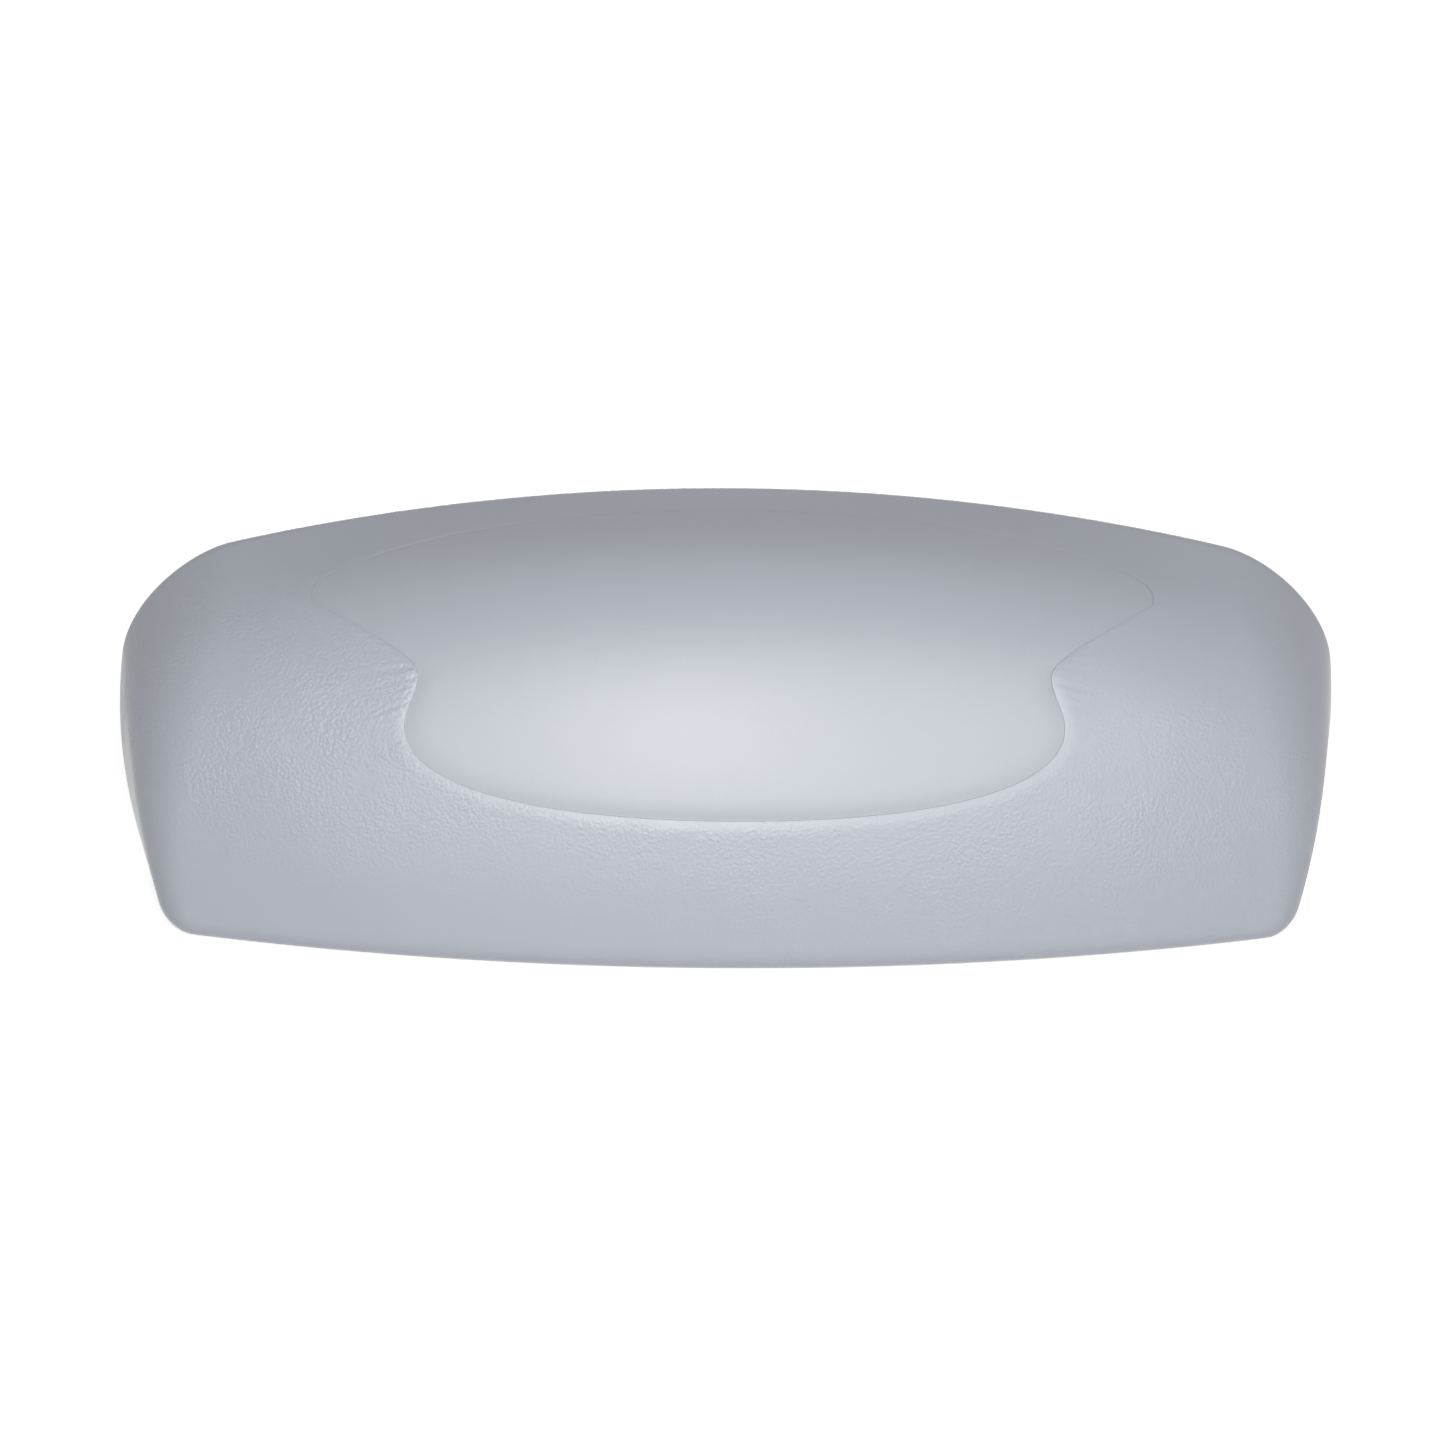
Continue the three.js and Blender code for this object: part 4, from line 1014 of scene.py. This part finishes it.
def grain_group():
    """Leather grain: rounded pebbles between fine creases, bent by noise, as strong as the mask says."""
    group, source, result = new_group("Leather grain", [
        VECTOR, ("Cells", "NodeSocketFloat", 800.0), ("Mask", "NodeSocketFloat", 1.0)], ["Height"])
    vector = source.outputs["Vector"]
    cells = source.outputs["Cells"]
    bend_scale = math_node(group, "MULTIPLY", cells, GRAIN_BEND_SCALE)
    bend = texture_node(group, NOISE, vector, bend_scale, Detail=2.0)
    shift = group.nodes.new("ShaderNodeVectorMath")
    shift.operation = "MULTIPLY_ADD"
    shift.inputs[1].default_value = (GRAIN_BEND, GRAIN_BEND, GRAIN_BEND)
    group.links.new(bend.outputs["Color"], shift.inputs[0])
    group.links.new(vector, shift.inputs[2])
    bent = shift.outputs["Vector"]
    pebbles = texture_node(group, CELLS, bent, cells)
    pebbles.feature = "SMOOTH_F1"
    pebbles.inputs["Smoothness"].default_value = GRAIN_SOFTNESS
    fine_scale = math_node(group, "MULTIPLY", cells, GRAIN_FINE_SCALE)
    fine = texture_node(group, NOISE, bent, fine_scale, Detail=3.0, Roughness=0.6)
    pebble = math_node(group, "SUBTRACT", 1.0, pebbles.outputs["Distance"])
    crease = math_node(group, "MULTIPLY", fine.outputs["Fac"], GRAIN_FINE_SHARE)
    both = math_node(group, "ADD", pebble, crease)
    patch_scale = math_node(group, "MULTIPLY", cells, GRAIN_PATCHES)
    patches = texture_node(group, NOISE, vector, patch_scale, Detail=1.0)
    patch = math_node(group, "MULTIPLY", patches.outputs["Fac"], PATCH_SWING)
    strength = math_node(group, "MULTIPLY", patch, source.outputs["Mask"])
    group.links.new(math_node(group, "MULTIPLY", both, strength), result.inputs["Height"])
    return group


def mottle_group():
    """Faint clouding of a finish: soft noise about one, of a given size and depth."""
    group, source, result = new_group("Mottle", [
        VECTOR, ("Spots", "NodeSocketFloat", 60.0), ("Depth", "NodeSocketFloat", 0.05)], ["Factor"])
    noise = texture_node(
        group, NOISE, source.outputs["Vector"], source.outputs["Spots"], Detail=4.0, Roughness=0.55)
    about = math_node(group, "SUBTRACT", noise.outputs["Fac"], NOISE_MIDDLE)
    swing = math_node(group, "MULTIPLY", about, source.outputs["Depth"])
    group.links.new(math_node(group, "ADD", swing, 1.0), result.inputs["Factor"])
    return group


def pitted_group():
    """Fine surface of moulded, foamed or turned stuff: noise with small round pits."""
    group, source, result = new_group("Pitted surface", [
        VECTOR, ("Pits", "NodeSocketFloat", 1500.0)], ["Height"])
    vector = source.outputs["Vector"]
    pits = source.outputs["Pits"]
    noise = texture_node(group, NOISE, vector, pits, Detail=3.0)
    holes = texture_node(group, CELLS, vector, pits)
    height = math_node(group, "ADD", noise.outputs["Fac"], holes.outputs["Distance"])
    group.links.new(height, result.inputs["Height"])
    return group


def shared_group(name, make):
    """A shader group that is made once and then found by its name."""
    return bpy.data.node_groups.get(name) or make()


# Materials

# Places of the colour sockets on a Mix node, whose names its number sockets share
MIX_FACTOR = 0
MIX_FIRST = 6
MIX_SECOND = 7
MIX_RESULT = 2


def place_group(tree, group, vector, **values):
    """Puts a node group into a material on its coordinates, with its own values."""
    node = tree.nodes.new("ShaderNodeGroup")
    node.node_tree = group
    tree.links.new(vector, node.inputs["Vector"])
    for label, value in values.items():
        node.inputs[label].default_value = value
    return node


def colour_mix(tree, first):
    """Node that mixes a colour with another; gives the node and its factor, second colour and result."""
    mix = tree.nodes.new("ShaderNodeMix")
    mix.data_type = "RGBA"
    mix.inputs[MIX_FIRST].default_value = (*first, 1)
    return mix, mix.inputs[MIX_FACTOR], mix.inputs[MIX_SECOND], mix.outputs[MIX_RESULT]


def shaded_material(name, **sockets):
    """Material with a Principled shader whose plain values are set on its own sockets."""
    material = bpy.data.materials.new(name)
    material.use_nodes = True
    shader = material.node_tree.nodes["Principled BSDF"]
    for label, value in sockets.items():
        shader.inputs[label.replace("_", " ")].default_value = value
    return material, material.node_tree, shader


def clouded_material(name, colour, roughness, spots, clouds, **sockets):
    """Finish whose colour and roughness cloud faintly; gives also its tree, shader and coordinates."""
    material, tree, shader = shaded_material(name, **sockets)
    vector = tree.nodes.new("ShaderNodeTexCoord").outputs["Object"]
    mottle = place_group(tree, shared_group("Mottle", mottle_group), vector, Spots=spots, Depth=clouds)
    cloud = mottle.outputs["Factor"]
    mix, factor, second, clouded = colour_mix(tree, colour)
    mix.blend_type = "MULTIPLY"
    factor.default_value = 1.0
    tree.links.new(cloud, second)
    tree.links.new(clouded, shader.inputs["Base Color"])
    tree.links.new(math_node(tree, "MULTIPLY", cloud, roughness), shader.inputs["Roughness"])
    return material, tree, shader, vector


def add_bump(tree, shader, height, distance):
    """Bump of a height socket on a shader."""
    bump = tree.nodes.new("ShaderNodeBump")
    bump.inputs["Distance"].default_value = distance
    tree.links.new(height, bump.inputs["Height"])
    tree.links.new(bump.outputs["Normal"], shader.inputs["Normal"])


VINYL_IOR = 1.5
VINYL_CLOUDS = (35.0, 0.03)  # spots in a metre and depth of the grained skin's clouding
PANEL_CLOUDS = (40.0, 0.02)  # the same for the smooth panel
PANEL_GRAIN = 0.05  # strength of the trace of grain on the panel


def vinyl_material(finishes):
    """Satin vinyl with a leather grain, whose strength comes with the mesh."""
    material, tree, shader, vector = clouded_material(
        "Grained vinyl", finishes.vinyl, finishes.vinyl_roughness, *VINYL_CLOUDS, IOR=VINYL_IOR)
    grain = shared_group("Leather grain", grain_group)
    pebbles = place_group(tree, grain, vector, Cells=1 / finishes.grain)
    mask = tree.nodes.new("ShaderNodeAttribute")
    mask.attribute_name = "grain"
    tree.links.new(mask.outputs["Fac"], pebbles.inputs["Mask"])
    add_bump(tree, shader, pebbles.outputs["Height"], finishes.grain_depth)
    return material


def panel_material(finishes):
    """Satin vinyl, smooth but for a trace of the grain."""
    material, tree, shader, vector = clouded_material(
        "Smooth vinyl", finishes.panel, finishes.panel_roughness, *PANEL_CLOUDS, IOR=VINYL_IOR)
    grain = shared_group("Leather grain", grain_group)
    pebbles = place_group(tree, grain, vector, Cells=1 / finishes.grain, Mask=PANEL_GRAIN)
    add_bump(tree, shader, pebbles.outputs["Height"], finishes.grain_depth)
    return material


# Roughness, spots and depth of the clouding, size and depth of the pits, and metal or not, by slot
PLAIN_FINISHES = {
    "foam": (0.92, 25.0, 0.10, 0.0012, 0.00025, 0.0),
    "black_plastic": (0.46, 40.0, 0.12, 0.0005, 0.00003, 0.0),
    "grey_plastic": (0.38, 50.0, 0.06, 0.0006, 0.00002, 0.0),
    "rubber": (0.72, 60.0, 0.12, 0.0007, 0.00003, 0.0),
    "steel": (0.28, 300.0, 0.20, 0.0004, 0.00001, 1.0),
    "brass": (0.32, 300.0, 0.20, 0.0004, 0.00001, 1.0),
}


def plain_material(finishes, slot):
    """Material of a slot: clouded colour and roughness over a finely pitted surface."""
    name = slot.replace("_", " ").capitalize()
    if name in bpy.data.materials:
        return bpy.data.materials[name]
    roughness, spots, clouds, pit, depth, metal = PLAIN_FINISHES[slot]
    material, tree, shader, vector = clouded_material(
        name, getattr(finishes, slot), roughness, spots, clouds, Metallic=metal)
    pits = place_group(tree, shared_group("Pitted surface", pitted_group), vector, Pits=1 / pit)
    add_bump(tree, shader, pits.outputs["Height"], depth)
    return material


# Operators

def declare(obj, node, body, slot, material):
    """Gives a piece its material, and lets it ride a body in place of a CAD node. The slot argument is not
    used.
    """
    obj.data.materials.clear()
    obj.data.materials.append(material)
    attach(obj, body)
    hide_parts(node)


def settings_of(context):
    """Sizes of the soft pieces."""
    scene = context.scene
    return scene.headrest_form, scene.headrest_panel, scene.headrest_fineness


GRAIN_LEFT = 0.28  # strength of the grain on the left half
GRAIN_RIGHT = 0.25  # on the right half, low down
GRAIN_RIGHT_LOSS = 0.23  # taken off that higher up
GRAIN_ENDS = 0.33  # added at the left end
GRAIN_RIGHT_END = 0.7  # share of that at the right end
CHIN_LOSS = 0.85  # share of the left half's grain that is lost towards the chin
END_CHIN_LOSS = 0.8  # the same for the ends' grain
TOP_LOSS = 0.8  # share that is lost on top
LEFTWARDS = (-0.35, 0.40)  # where right turns to left, in half widths
CHINWARDS = (0.3, 0.8)  # where the face turns to the chin, in parts of the underside's height
TOPWARDS = (0.35, 0.75)  # where the face turns to the top, in parts of the crown's height
LOSS_FROM = 0.4  # the right half's loss starts at this part of the underside's height
LOSS_TO = 0.2  # and is full at this part of the crown's height
END_POWER = 3


def grain_strength(form, points):
    """Grain by place: more on the left and towards the ends, less towards the chin, and faint on top."""
    across = points[..., 0] / form.half_width
    height = points[..., 2]
    leftwards = smoothstep(-across, *LEFTWARDS)
    chin = smoothstep(height / form.underside, *CHINWARDS)
    top = smoothstep(height / form.crown_height, *TOPWARDS)
    upwards = smoothstep(height, LOSS_FROM * form.underside, LOSS_TO * form.crown_height)
    right = GRAIN_RIGHT - GRAIN_RIGHT_LOSS * upwards
    left = GRAIN_LEFT * (1 - CHIN_LOSS * chin)
    end = GRAIN_ENDS * (GRAIN_RIGHT_END + (1 - GRAIN_RIGHT_END) * leftwards)
    ends = end * np.abs(across) ** END_POWER * (1 - END_CHIN_LOSS * chin)
    return (right + (left - right) * leftwards + ends) * (1 - TOP_LOSS * top)


class HEADREST_OT_skin(bpy.types.Operator):
    """Makes the grained skin that wraps the pillow from the crease to the hem"""

    bl_idname = "headrest.skin"
    bl_label = "Grained skin"

    def execute(self, context):
        form, panel, fine = settings_of(context)
        grid = skin_grid(form, panel, fine)
        skin = grid_object("grained_skin", grid, True, {"grain": grain_strength(form, grid)})
        material = vinyl_material(context.scene.headrest_finishes)
        declare(skin, "vinyl_skin", "headrest", "grained_vinyl", material)
        return {"FINISHED"}


class HEADREST_OT_panel(bpy.types.Operator):
    """Makes the smooth panel let into the pillow's face"""

    bl_idname = "headrest.panel"
    bl_label = "Smooth panel"

    def execute(self, context):
        sheet = grid_object("smooth_panel", panel_grid(*settings_of(context)), False)
        material = panel_material(context.scene.headrest_finishes)
        declare(sheet, "head_panel", "headrest", "smooth_vinyl", material)
        return {"FINISHED"}


class HEADREST_OT_foam(bpy.types.Operator):
    """Makes the foam that fills the skin, with room for the back plate"""

    bl_idname = "headrest.foam"
    bl_label = "Foam core"

    def execute(self, context):
        form, panel, fine = settings_of(context)
        hard = context.scene.headrest_hardware
        foam = grid_object("moulded_foam", foam_grid(form, panel, fine, hard.fit_gap), False)
        combined(foam, plate_solid(form, hard, fine, hard.fit_gap), "DIFFERENCE")
        shade(foam)
        material = plain_material(context.scene.headrest_finishes, "foam")
        declare(foam, "foam_core", "headrest", "foam", material)
        return {"FINISHED"}


class HEADREST_OT_plate(bpy.types.Operator):
    """Makes the back plate with its flange, dishes and bosses"""

    bl_idname = "headrest.plate"
    bl_label = "Back plate"

    def execute(self, context):
        form, _, fine = settings_of(context)
        hard = context.scene.headrest_hardware
        plate = plate_solid(form, hard, fine, 0.0)
        for side in SIDES:
            combined(plate, pocket_cut(form, hard, fine, side), "DIFFERENCE")
        shade(plate)
        material = plain_material(context.scene.headrest_finishes, "black_plastic")
        declare(plate, "back_plate", "headrest", "black_plastic", material)
        return {"FINISHED"}


class TurnedPair:
    """Builds the left and right piece of a pair, each turned about its pin's axis."""

    node = ""
    body = "headrest"
    slot = ""
    step = 0.0  # longest step along the profile, with nought for no limit
    fineness = 1  # times the usual number of columns
    closed = True  # the profile is a ring, clear of the axis

    def corners(self, hard, radius, front, back):
        """Corners of the profile from the piece's radius and the depths of its front and back."""
        raise NotImplementedError

    def reshape(self, hard, box, turn, radius, depth):
        """Radius at an angle and a depth, for pieces that aren't round all over."""
        return radius

    def execute(self, context):
        hard = context.scene.headrest_hardware
        columns = context.scene.headrest_fineness.turns * self.fineness
        material = plain_material(context.scene.headrest_finishes, self.slot)
        for side in SIDES:
            node = f"{self.node}_{side}"
            axis, *box = turned_box(node)
            profile = profile_of(self.corners(hard, *box), self.closed, self.step)

            def reshape(turn, radius, depth):
                return self.reshape(hard, box, turn, radius, depth)

            obj = turned(f"turned_{node}", profile, self.closed, axis, columns, reshape)
            declare(obj, node, self.body, self.slot, material)
        return {"FINISHED"}


class HEADREST_OT_pins(TurnedPair, bpy.types.Operator):
    """Makes the pins: a collar, a groove for the O-ring, and a counterbore for the screw"""

    bl_idname = "headrest.pins"
    bl_label = "Mounting pins"
    node = "mount_pin"
    slot = "grey_plastic"

    def corners(self, hard, radius, front, back):
        collar_back = front + hard.collar_thick
        groove = hard.ring_radius - hard.ring_section - hard.fit_gap
        low = hard.ring_at - hard.ring_section - hard.fit_gap
        high = hard.ring_at + hard.ring_section + hard.fit_gap
        hole = hard.screw_radius + hard.fit_gap
        head_hole = turned_box("pin_screw_left")[1] + hard.fit_gap
        pin = hard.pin_radius
        chamfer = hard.pin_chamfer
        soft = hard.edge / 2
        tight = hard.edge / 4
        return [
            (hole, front, tight), (radius, front, soft), (radius, collar_back, soft),
            (pin, collar_back, soft), (pin, low, tight), (groove, low, tight), (groove, high, tight),
            (pin, high, tight), (pin, back - chamfer, soft), (pin - chamfer, back, soft),
            (head_hole, back, tight), (head_hole, hard.head_seat, tight), (hole, hard.head_seat, tight),
        ]


RING_STEPS = 32  # steps round an O-ring's section


class HEADREST_OT_rings(TurnedPair, bpy.types.Operator):
    """Makes the O-rings in the pins' grooves"""

    bl_idname = "headrest.rings"
    bl_label = "O-rings"
    node = "pin_o_ring"
    slot = "rubber"

    def corners(self, hard, radius, front, back):
        turn = np.linspace(0, math.tau, RING_STEPS, endpoint=False)
        across = hard.ring_radius + hard.ring_section * np.cos(turn)
        return np.stack([across, hard.ring_at + hard.ring_section * np.sin(turn), turn * 0], axis=1)


class HEADREST_OT_screws(TurnedPair, bpy.types.Operator):
    """Makes the cap screws with their threads and the hexagons in their heads"""

    bl_idname = "headrest.screws"
    bl_label = "Pin screws"
    node = "pin_screw"
    slot = "steel"
    step = 0.0001
    closed = False

    def corners(self, hard, radius, front, back):
        seat = back - hard.head_thick
        floor = back - hard.key_depth
        soft = hard.edge / 2
        tight = hard.edge / 8
        return [
            (0, front, 0), (hard.screw_radius, front, soft), (hard.screw_radius, seat, tight),
            (radius, seat, tight), (radius, back, soft), (hard.key_radius, back, tight),
            (hard.key_radius, floor, tight), (0, floor, 0),
        ]

    def reshape(self, hard, box, turn, radius, depth):
        _, _, back = box
        in_key = (depth > back - hard.key_depth - MERGE) & (radius < hard.key_radius + hard.edge / 4)
        thread_end = back - hard.head_thick - hard.plain_shank
        on_thread = (np.abs(radius - hard.screw_radius) < MERGE) & (depth < thread_end)
        cut = thread_cut(turn, depth, hard.screw_pitch, hard.screw_thread)
        return np.where(in_key, radius * hexagon(turn), radius - np.where(on_thread, cut, 0))


class HEADREST_OT_inserts(TurnedPair, bpy.types.Operator):
    """Makes the knurled brass inserts in the plate's bosses"""

    bl_idname = "headrest.inserts"
    bl_label = "Brass inserts"
    node = "brass_insert"
    slot = "brass"
    fineness = 2

    def corners(self, hard, radius, front, back):
        hole = hard.screw_radius + hard.fit_gap
        middle = (front + back) / 2
        tight = hard.edge / 4
        groove = radius - hard.edge / 2
        return [
            (hole, front, tight), (radius, front, tight), (radius, middle - hard.edge, tight),
            (groove, middle - hard.edge, tight), (groove, middle + hard.edge, tight),
            (radius, middle + hard.edge, tight), (radius, back, tight), (hole, back, tight),
        ]

    def reshape(self, hard, box, turn, radius, depth):
        knurl = hard.knurl / 2 * (1 - np.cos(hard.knurls * turn))
        return np.where(radius > box[0] - MERGE, radius - knurl, radius)


class HEADREST_OT_sockets(TurnedPair, bpy.types.Operator):
    """Makes the wall sockets: a flange, a blind bore and a threaded barrel"""

    bl_idname = "headrest.sockets"
    bl_label = "Wall sockets"
    node = "socket_cup"
    body = "wall_sockets"
    slot = "grey_plastic"
    step = 0.0003
    closed = False

    def corners(self, hard, radius, front, back):
        flange_back = front + hard.flange_thick
        soft = hard.edge / 2
        return [
            (0, hard.bore_end, 0), (hard.bore_radius, hard.bore_end, soft),
            (hard.bore_radius, front + hard.edge, soft), (hard.bore_radius + hard.edge, front, soft),
            (radius, front, hard.edge), (radius, flange_back, soft),
            (hard.barrel_radius, flange_back, soft), (hard.barrel_radius, back, hard.edge), (0, back, 0),
        ]

    def reshape(self, hard, box, turn, radius, depth):
        on_thread = (np.abs(radius - hard.barrel_radius) < MERGE) & (depth > 0)
        cut = thread_cut(turn, depth, hard.barrel_pitch, hard.barrel_thread)
        return radius - np.where(on_thread, cut, 0)


class HEADREST_OT_gaskets(TurnedPair, bpy.types.Operator):
    """Makes the gaskets between the sockets' flanges and the wall"""

    bl_idname = "headrest.gaskets"
    bl_label = "Gaskets"
    node = "socket_gasket"
    body = "wall_sockets"
    slot = "rubber"

    def corners(self, hard, radius, front, back):
        inner = hard.barrel_radius + hard.fit_gap
        soft = hard.edge / 2
        return [(inner, front, soft), (radius, front, soft), (radius, back, soft), (inner, back, soft)]


NUT_CHAMFER = math.radians(30)  # slope of the chamfer on a locknut's corners


class HEADREST_OT_locknuts(TurnedPair, bpy.types.Operator):
    """Makes the hexagon locknuts behind the wall"""

    bl_idname = "headrest.locknuts"
    bl_label = "Locknuts"
    node = "socket_locknut"
    body = "wall_sockets"
    slot = "black_plastic"
    step = 0.0003

    def corners(self, hard, radius, front, back):
        inner = hard.barrel_radius + hard.fit_gap
        return [(inner, front, hard.edge), (radius, front, 0), (radius, back, 0), (inner, back, hard.edge)]

    def reshape(self, hard, box, turn, radius, depth):
        corner, front, back = box
        chamfer = hard.nut_face + np.minimum(depth - front, back - depth) / math.tan(NUT_CHAMFER)
        return np.minimum(radius, np.minimum(corner * hexagon(turn), chamfer))


# Stage

def seen_by_eye(tree):
    """One for camera, glossy and transmission rays, and nought for the rays that light the object."""
    path = tree.nodes.new("ShaderNodeLightPath")
    eye = math_node(tree, "MAXIMUM", path.outputs["Is Camera Ray"], path.outputs["Is Glossy Ray"])
    return math_node(tree, "MAXIMUM", eye, path.outputs["Is Transmission Ray"])


FLOOR_REACH = 6.0  # half the floor's width
FLOOR_DROP = 0.0002  # gap between the underside and the floor
FLOOR_ROUGHNESS = 0.9
WHITE = (1, 1, 1, 1)


def make_floor(stage, form):
    """Pale floor under the pillow. It glows towards the eye, so it reads white and keeps the shadow."""
    corner = np.array([(-1, -1), (1, -1), (1, 1), (-1, 1)]) * FLOOR_REACH
    height = np.full((4, 1), form.underside - FLOOR_DROP)
    floor = new_mesh("floor", np.concatenate([corner, height], axis=1), np.array([[0, 1, 2, 3]]))
    material, tree, shader = shaded_material(
        "Floor", Base_Color=(*stage.floor, 1), Roughness=FLOOR_ROUGHNESS, Emission_Color=WHITE)
    glow = math_node(tree, "MULTIPLY", seen_by_eye(tree), stage.floor_glow)
    tree.links.new(glow, shader.inputs["Emission Strength"])
    floor.data.materials.append(material)


def make_world(stage):
    """Even light from all round, and a white background for the eye."""
    world = bpy.data.worlds.new("Studio")
    bpy.context.scene.world = world
    world.use_nodes = True
    tree = world.node_tree
    _, factor, second, mixed = colour_mix(tree, [stage.fill * part for part in stage.fill_tint])
    second.default_value = WHITE
    tree.links.new(seen_by_eye(tree), factor)
    tree.links.new(mixed, tree.nodes["Background"].inputs["Color"])


LOOK_AT = Vector((-0.00106, -0.030, -0.00253))  # the point that the camera and the lights look at
SENSOR_WIDTH = 36  # millimetres


def around(azimuth, elevation):
    """Unit vector from the pillow towards a place seen from it."""
    flat = math.cos(elevation)
    return Vector((math.sin(azimuth) * flat, -math.cos(azimuth) * flat, math.sin(elevation)))


def make_light(name, stage, power, width, height, way):
    """Soft light that looks at the pillow from the end of a way."""
    lamp = bpy.data.lights.new(name, "AREA")
    lamp.shape = "ELLIPSE"
    lamp.size = width
    lamp.size_y = height
    lamp.energy = power
    light = bpy.data.objects.new(name, lamp)
    bpy.context.scene.collection.objects.link(light)
    light.location = LOOK_AT + way * stage.light_distance
    light.rotation_euler = way.to_track_quat("Z", "Y").to_euler()


def make_lights(stage):
    """A wide light in front with a brighter middle, a low one under it, and a weak one behind."""
    front = around(stage.key_azimuth, stage.key_elevation)
    make_light("Front light", stage, stage.key_power, stage.key_width, stage.key_height, front)
    spot = around(stage.spot_azimuth, stage.spot_elevation)
    make_light("Spot light", stage, stage.spot_power, stage.spot_size, stage.spot_size, spot)
    low = around(stage.key_azimuth, stage.low_elevation)
    make_light("Low light", stage, stage.low_power, stage.key_width, stage.low_height, low)
    behind = around(math.pi, stage.back_elevation)
    make_light("Back light", stage, stage.back_power, stage.back_width, stage.back_width, behind)


def make_camera(stage):
    """Camera on a long lens, rolled about its own axis."""
    eye = bpy.data.cameras.new("Camera")
    eye.lens = stage.lens
    eye.sensor_width = SENSOR_WIDTH
    camera = bpy.data.objects.new("Camera", eye)
    bpy.context.scene.collection.objects.link(camera)
    back = around(stage.azimuth, stage.elevation)
    right = Vector((math.cos(stage.azimuth), math.sin(stage.azimuth), 0))
    up = back.cross(right)
    rolled_right = right * math.cos(stage.roll) + up * math.sin(stage.roll)
    rolled_up = up * math.cos(stage.roll) - right * math.sin(stage.roll)
    turn = Matrix((rolled_right, rolled_up, back)).transposed()
    camera.matrix_world = Matrix.LocRotScale(LOOK_AT + back * stage.distance, turn, None)
    bpy.context.scene.camera = camera


class HEADREST_OT_stage(bpy.types.Operator):
    """Sets up the floor, the light and the camera"""

    bl_idname = "headrest.stage"
    bl_label = "Stage"

    def execute(self, context):
        stage = context.scene.headrest_stage
        make_floor(stage, context.scene.headrest_form)
        make_world(stage)
        make_lights(stage)
        make_camera(stage)
        context.scene.view_settings.view_transform = "Standard"
        return {"FINISHED"}


class HEADREST_PT_sidebar(bpy.types.Panel):
    """Lists the pieces, the stage and their settings"""

    bl_idname = "HEADREST_PT_sidebar"
    bl_label = "Hot tub headrest"
    bl_space_type = "VIEW_3D"
    bl_region_type = "UI"
    bl_category = "Headrest"

    def draw(self, context):
        for operator in OPERATORS:
            self.layout.operator(operator.bl_idname)
        for name, kind in SETTINGS.items():
            self.layout.label(text=kind.__doc__)
            for setting in kind.__annotations__:
                self.layout.prop(getattr(context.scene, name), setting)


SETTINGS = {
    "headrest_form": PillowForm,
    "headrest_panel": PanelForm,
    "headrest_hardware": HardwareForm,
    "headrest_fineness": Fineness,
    "headrest_finishes": Finishes,
    "headrest_stage": StageForm,
}
OPERATORS = (
    HEADREST_OT_skin, HEADREST_OT_panel, HEADREST_OT_foam, HEADREST_OT_plate, HEADREST_OT_pins,
    HEADREST_OT_rings, HEADREST_OT_screws, HEADREST_OT_inserts, HEADREST_OT_sockets, HEADREST_OT_gaskets,
    HEADREST_OT_locknuts, HEADREST_OT_stage,
)


def register():
    """Registers the classes and puts the settings on the scene."""
    for kind in (*SETTINGS.values(), *OPERATORS, HEADREST_PT_sidebar):
        bpy.utils.register_class(kind)
    for name, kind in SETTINGS.items():
        setattr(bpy.types.Scene, name, PointerProperty(type=kind))


def unregister():
    """Takes the settings off the scene and the classes out again."""
    for name in SETTINGS:
        delattr(bpy.types.Scene, name)
    for kind in (HEADREST_PT_sidebar, *reversed(OPERATORS), *reversed(SETTINGS.values())):
        bpy.utils.unregister_class(kind)


def main():
    """Registers the add-on, and builds the pieces and the stage in order."""
    register()
    bpy.ops.headrest.skin()
    bpy.ops.headrest.panel()
    bpy.ops.headrest.foam()
    bpy.ops.headrest.plate()
    bpy.ops.headrest.pins()
    bpy.ops.headrest.rings()
    bpy.ops.headrest.screws()
    bpy.ops.headrest.inserts()
    bpy.ops.headrest.sockets()
    bpy.ops.headrest.gaskets()
    bpy.ops.headrest.locknuts()
    bpy.ops.headrest.stage()


if __name__ == "__main__":
    main()
